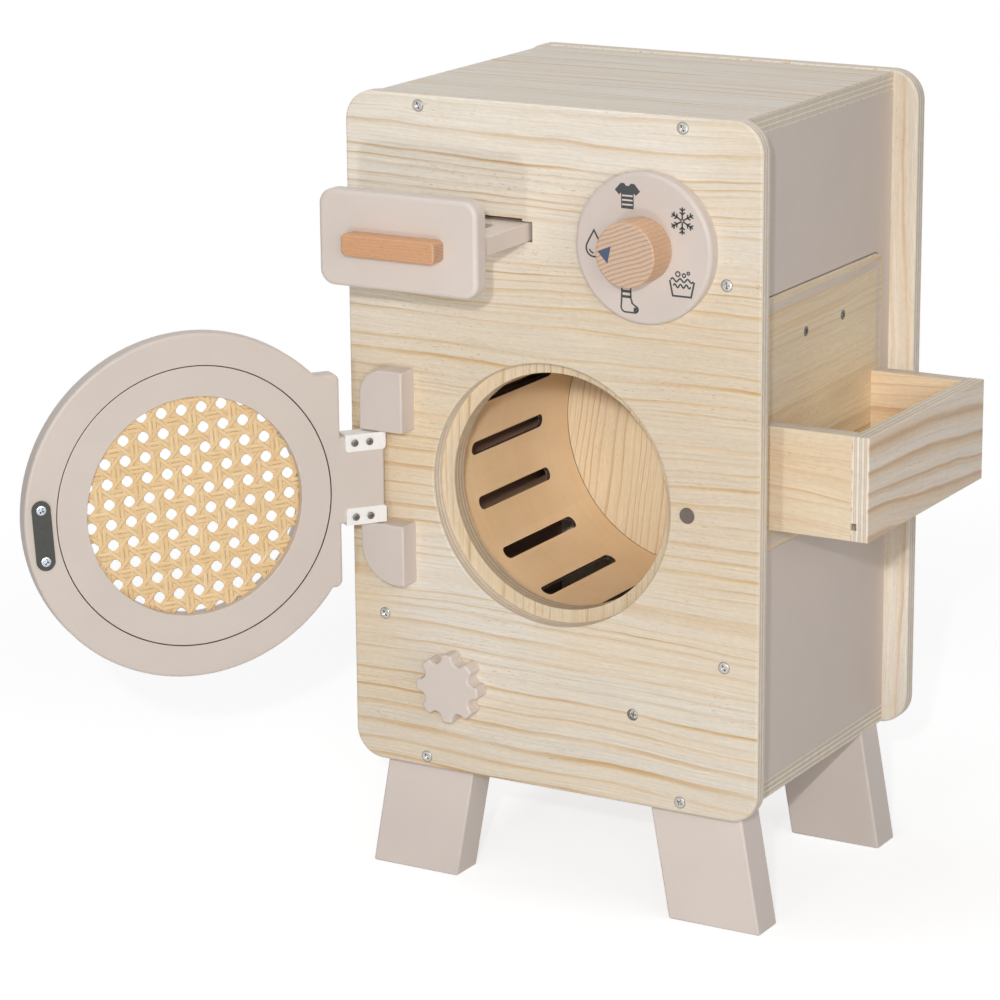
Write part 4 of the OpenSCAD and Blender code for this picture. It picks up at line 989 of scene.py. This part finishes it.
# a hole of the weave lies 1.5 mm right of and 3.8 mm below the window's middle, half a pitch from the
# lattice's start
HOLE_AT = Vector((0.0015, -0.0038)) - Matrix.Rotation(CANE_TURN, 2) @ Vector((CANE_PITCH, CANE_PITCH)) / 2
webbing = grown(cane_tree(), "cane_webbing_woven", [(0, 0, 0)], (0, 0, 1),
                {"Reach": 0.088, "Pitch": CANE_PITCH, "Pair Apart": 0.00318, "Strand Width": 0.0029,
                 "Slant Width": 0.0028, "Strand Thickness": 0.00030, "Rise": 0.00010, "Slant Rise": 0.00017,
                 "Shift X": HOLE_AT.x, "Shift Y": HOLE_AT.y, "Turn": CANE_TURN}, cane)
window = Matrix.Translation((DOOR_MIDDLE[0], DOOR_IN - CANE_UNDER, DOOR_MIDDLE[1]))
flat_to_shut = window @ Matrix.Rotation(pi / 2, 4, "X") @ Matrix.Scale(1000, 4)
webbing.data.transform(PLACES["door"].inverted() @ flat_to_shut)
carried(webbing, "door", "cane", "cane_webbing")

drawings = (snowflake, shirt, drop, sock, wash_tub)
motifs = [(drawing, *arc(*DIAL, MOTIF_OUT, 36 + 72 * i, 0, 1)[0]) for i, drawing in enumerate(drawings)]
printed("dial_marks", *PAINT, ink, DIAL_FACE, motifs, size=MOTIF_SIZE)
printed("dial_shirt_stripes", *PAINT, ink_pale, DIAL_FACE - 0.1, [(shirt_stripes, *motifs[1][1:])], 0.04,
        MOTIF_SIZE)
printed("knob_pointer", "programme_knob", "beech", ink_blue, KNOB_FACE,
        [(lambda skin: mark_fill(skin, [(-18.8, 1.2), (-9.6, 5.0), (-11.9, -6.1)]), *DIAL)], 0.08)


# ---- floor, light and camera

def seen_rays(add):
    """1 for rays from the camera, from a gloss or through glass, which see plain white around the toy."""
    path = add("LightPath").node.outputs
    seen = add("Math MAXIMUM", path["Is Camera Ray"], path["Is Glossy Ray"])
    return add("Math MAXIMUM", seen, path["Is Transmission Ray"])


def stage_floor():
    """A plain pale floor that shows white to the camera away from the object's shadow."""
    finish = bpy.data.materials.new("Studio floor")
    finish.use_nodes = True
    finish.node_tree.nodes.clear()
    add = adder(finish.node_tree)
    speck = add("TexNoise", Scale=40, Detail=2)
    pale = add("Mix RGBA", speck, "#CECCC9", "#D2D0CD")
    plain = add("BsdfDiffuse", pale)
    # near the toy the floor shows its shadow; from half a metre out it turns to plain white
    near = add("VectorMath DISTANCE", add("TexCoord", out="Object"), tuple(MIDDLE))
    far = add("MapRange SMOOTHSTEP", near, 0.45, 1.1)
    lit = add("AddShader", add("BsdfDiffuse", (0.5, 0.5, 0.5, 1)), add("Emission", "#FFFFFF", 0.72))
    shown = add("MixShader", far, lit, add("Emission", "#FFFFFF", 1.0))
    add("OutputMaterial", add("MixShader", seen_rays(add), plain, shown))
    mesh = bpy.data.meshes.new("studio_floor")
    r, n = 9.0, 48
    ring = [(r * cos(2 * pi * i / n) + MIDDLE.x, r * sin(2 * pi * i / n) + MIDDLE.y, 0) for i in range(n)]
    mesh.from_pydata(ring, [], [list(range(n))])
    mesh.materials.append(finish)
    put("studio_floor", mesh)


def lamp(name, place, size, watts, aim=(0, 0, 300), spread=180):
    """A round softbox; place and aim in millimetres from the cabinet's middle, spread in degrees."""
    data = bpy.data.lights.new(name, "AREA")
    data.shape = "DISK"
    data.size = size
    data.energy = watts
    data.spread = radians(spread)
    light = put(name, data)
    spot, target = (TO_MM.inverted() @ Vector(p) for p in (place, aim))
    light.location = spot
    light.rotation_euler = (target - spot).to_track_quat("-Z", "Y").to_euler()
    return light


def studio_light():
    """A small crisp key and a broad softbox by the camera, a low lamp, light from the right and above."""
    world = bpy.data.worlds.new("Studio")
    bpy.context.scene.world = world
    world.use_nodes = True
    world.node_tree.nodes.clear()
    add = adder(world.node_tree)
    add("OutputWorld", add("MixShader", seen_rays(add), add("Background", "#FFFFFF", 0.16),
                           add("Background", "#FFFFFF", 1.0)))
    lamp("key lamp", (1061, -2336, 1140), 0.06, 19)
    lamp("camera-side softbox", (1450, -2330, 1060), 1.1, 16.5)
    lamp("right-hand softbox", (2060, -1100, 900), 1.1, 7.5)
    lamp("low front lamp", (114, -1185, 242), 0.07, 1.5, (-40, 0, 400))
    lamp("overhead softbox", (-300, -100, 2200), 1.4, 13.5)
    # a snooted lamp that reaches only the inside of the drum
    snoot = lamp("drum lamp", (590, -1298, 746), 0.08, 0.168, (0, 0, 279), 20)
    only = bpy.data.collections.new("drum lamp reaches")
    for node in ("drum_shell", "drum_back_disc", "left_side_panel", "back_panel"):
        only.objects.link(bpy.data.objects[node + "_eased"])
    snoot.light_linking.receiver_collection = only


def studio_camera():
    """Looks at the front from its right side and a little above."""
    data = bpy.data.cameras.new("camera")
    data.lens = 136.275
    data.sensor_width = 36
    data.clip_end = 60
    camera = put("camera", data)
    turn, rise, roll = (radians(a) for a in (30.197, 15.176, -0.495))
    ahead = Vector((-sin(turn) * cos(rise), cos(turn) * cos(rise), -sin(rise)))
    right = Vector((cos(turn), sin(turn), 0))
    up = right.cross(ahead)
    right, up = cos(roll) * right + sin(roll) * up, cos(roll) * up - sin(roll) * right
    place = Vector((1.1532, -2.1660, 0.9136)) + MIDDLE
    camera.matrix_world = Matrix.Translation(place) @ Matrix((right, up, -ahead)).transposed().to_4x4()
    bpy.context.scene.camera = camera


stage_floor()
studio_light()
studio_camera()
bpy.context.scene.view_settings.view_transform = "Standard"
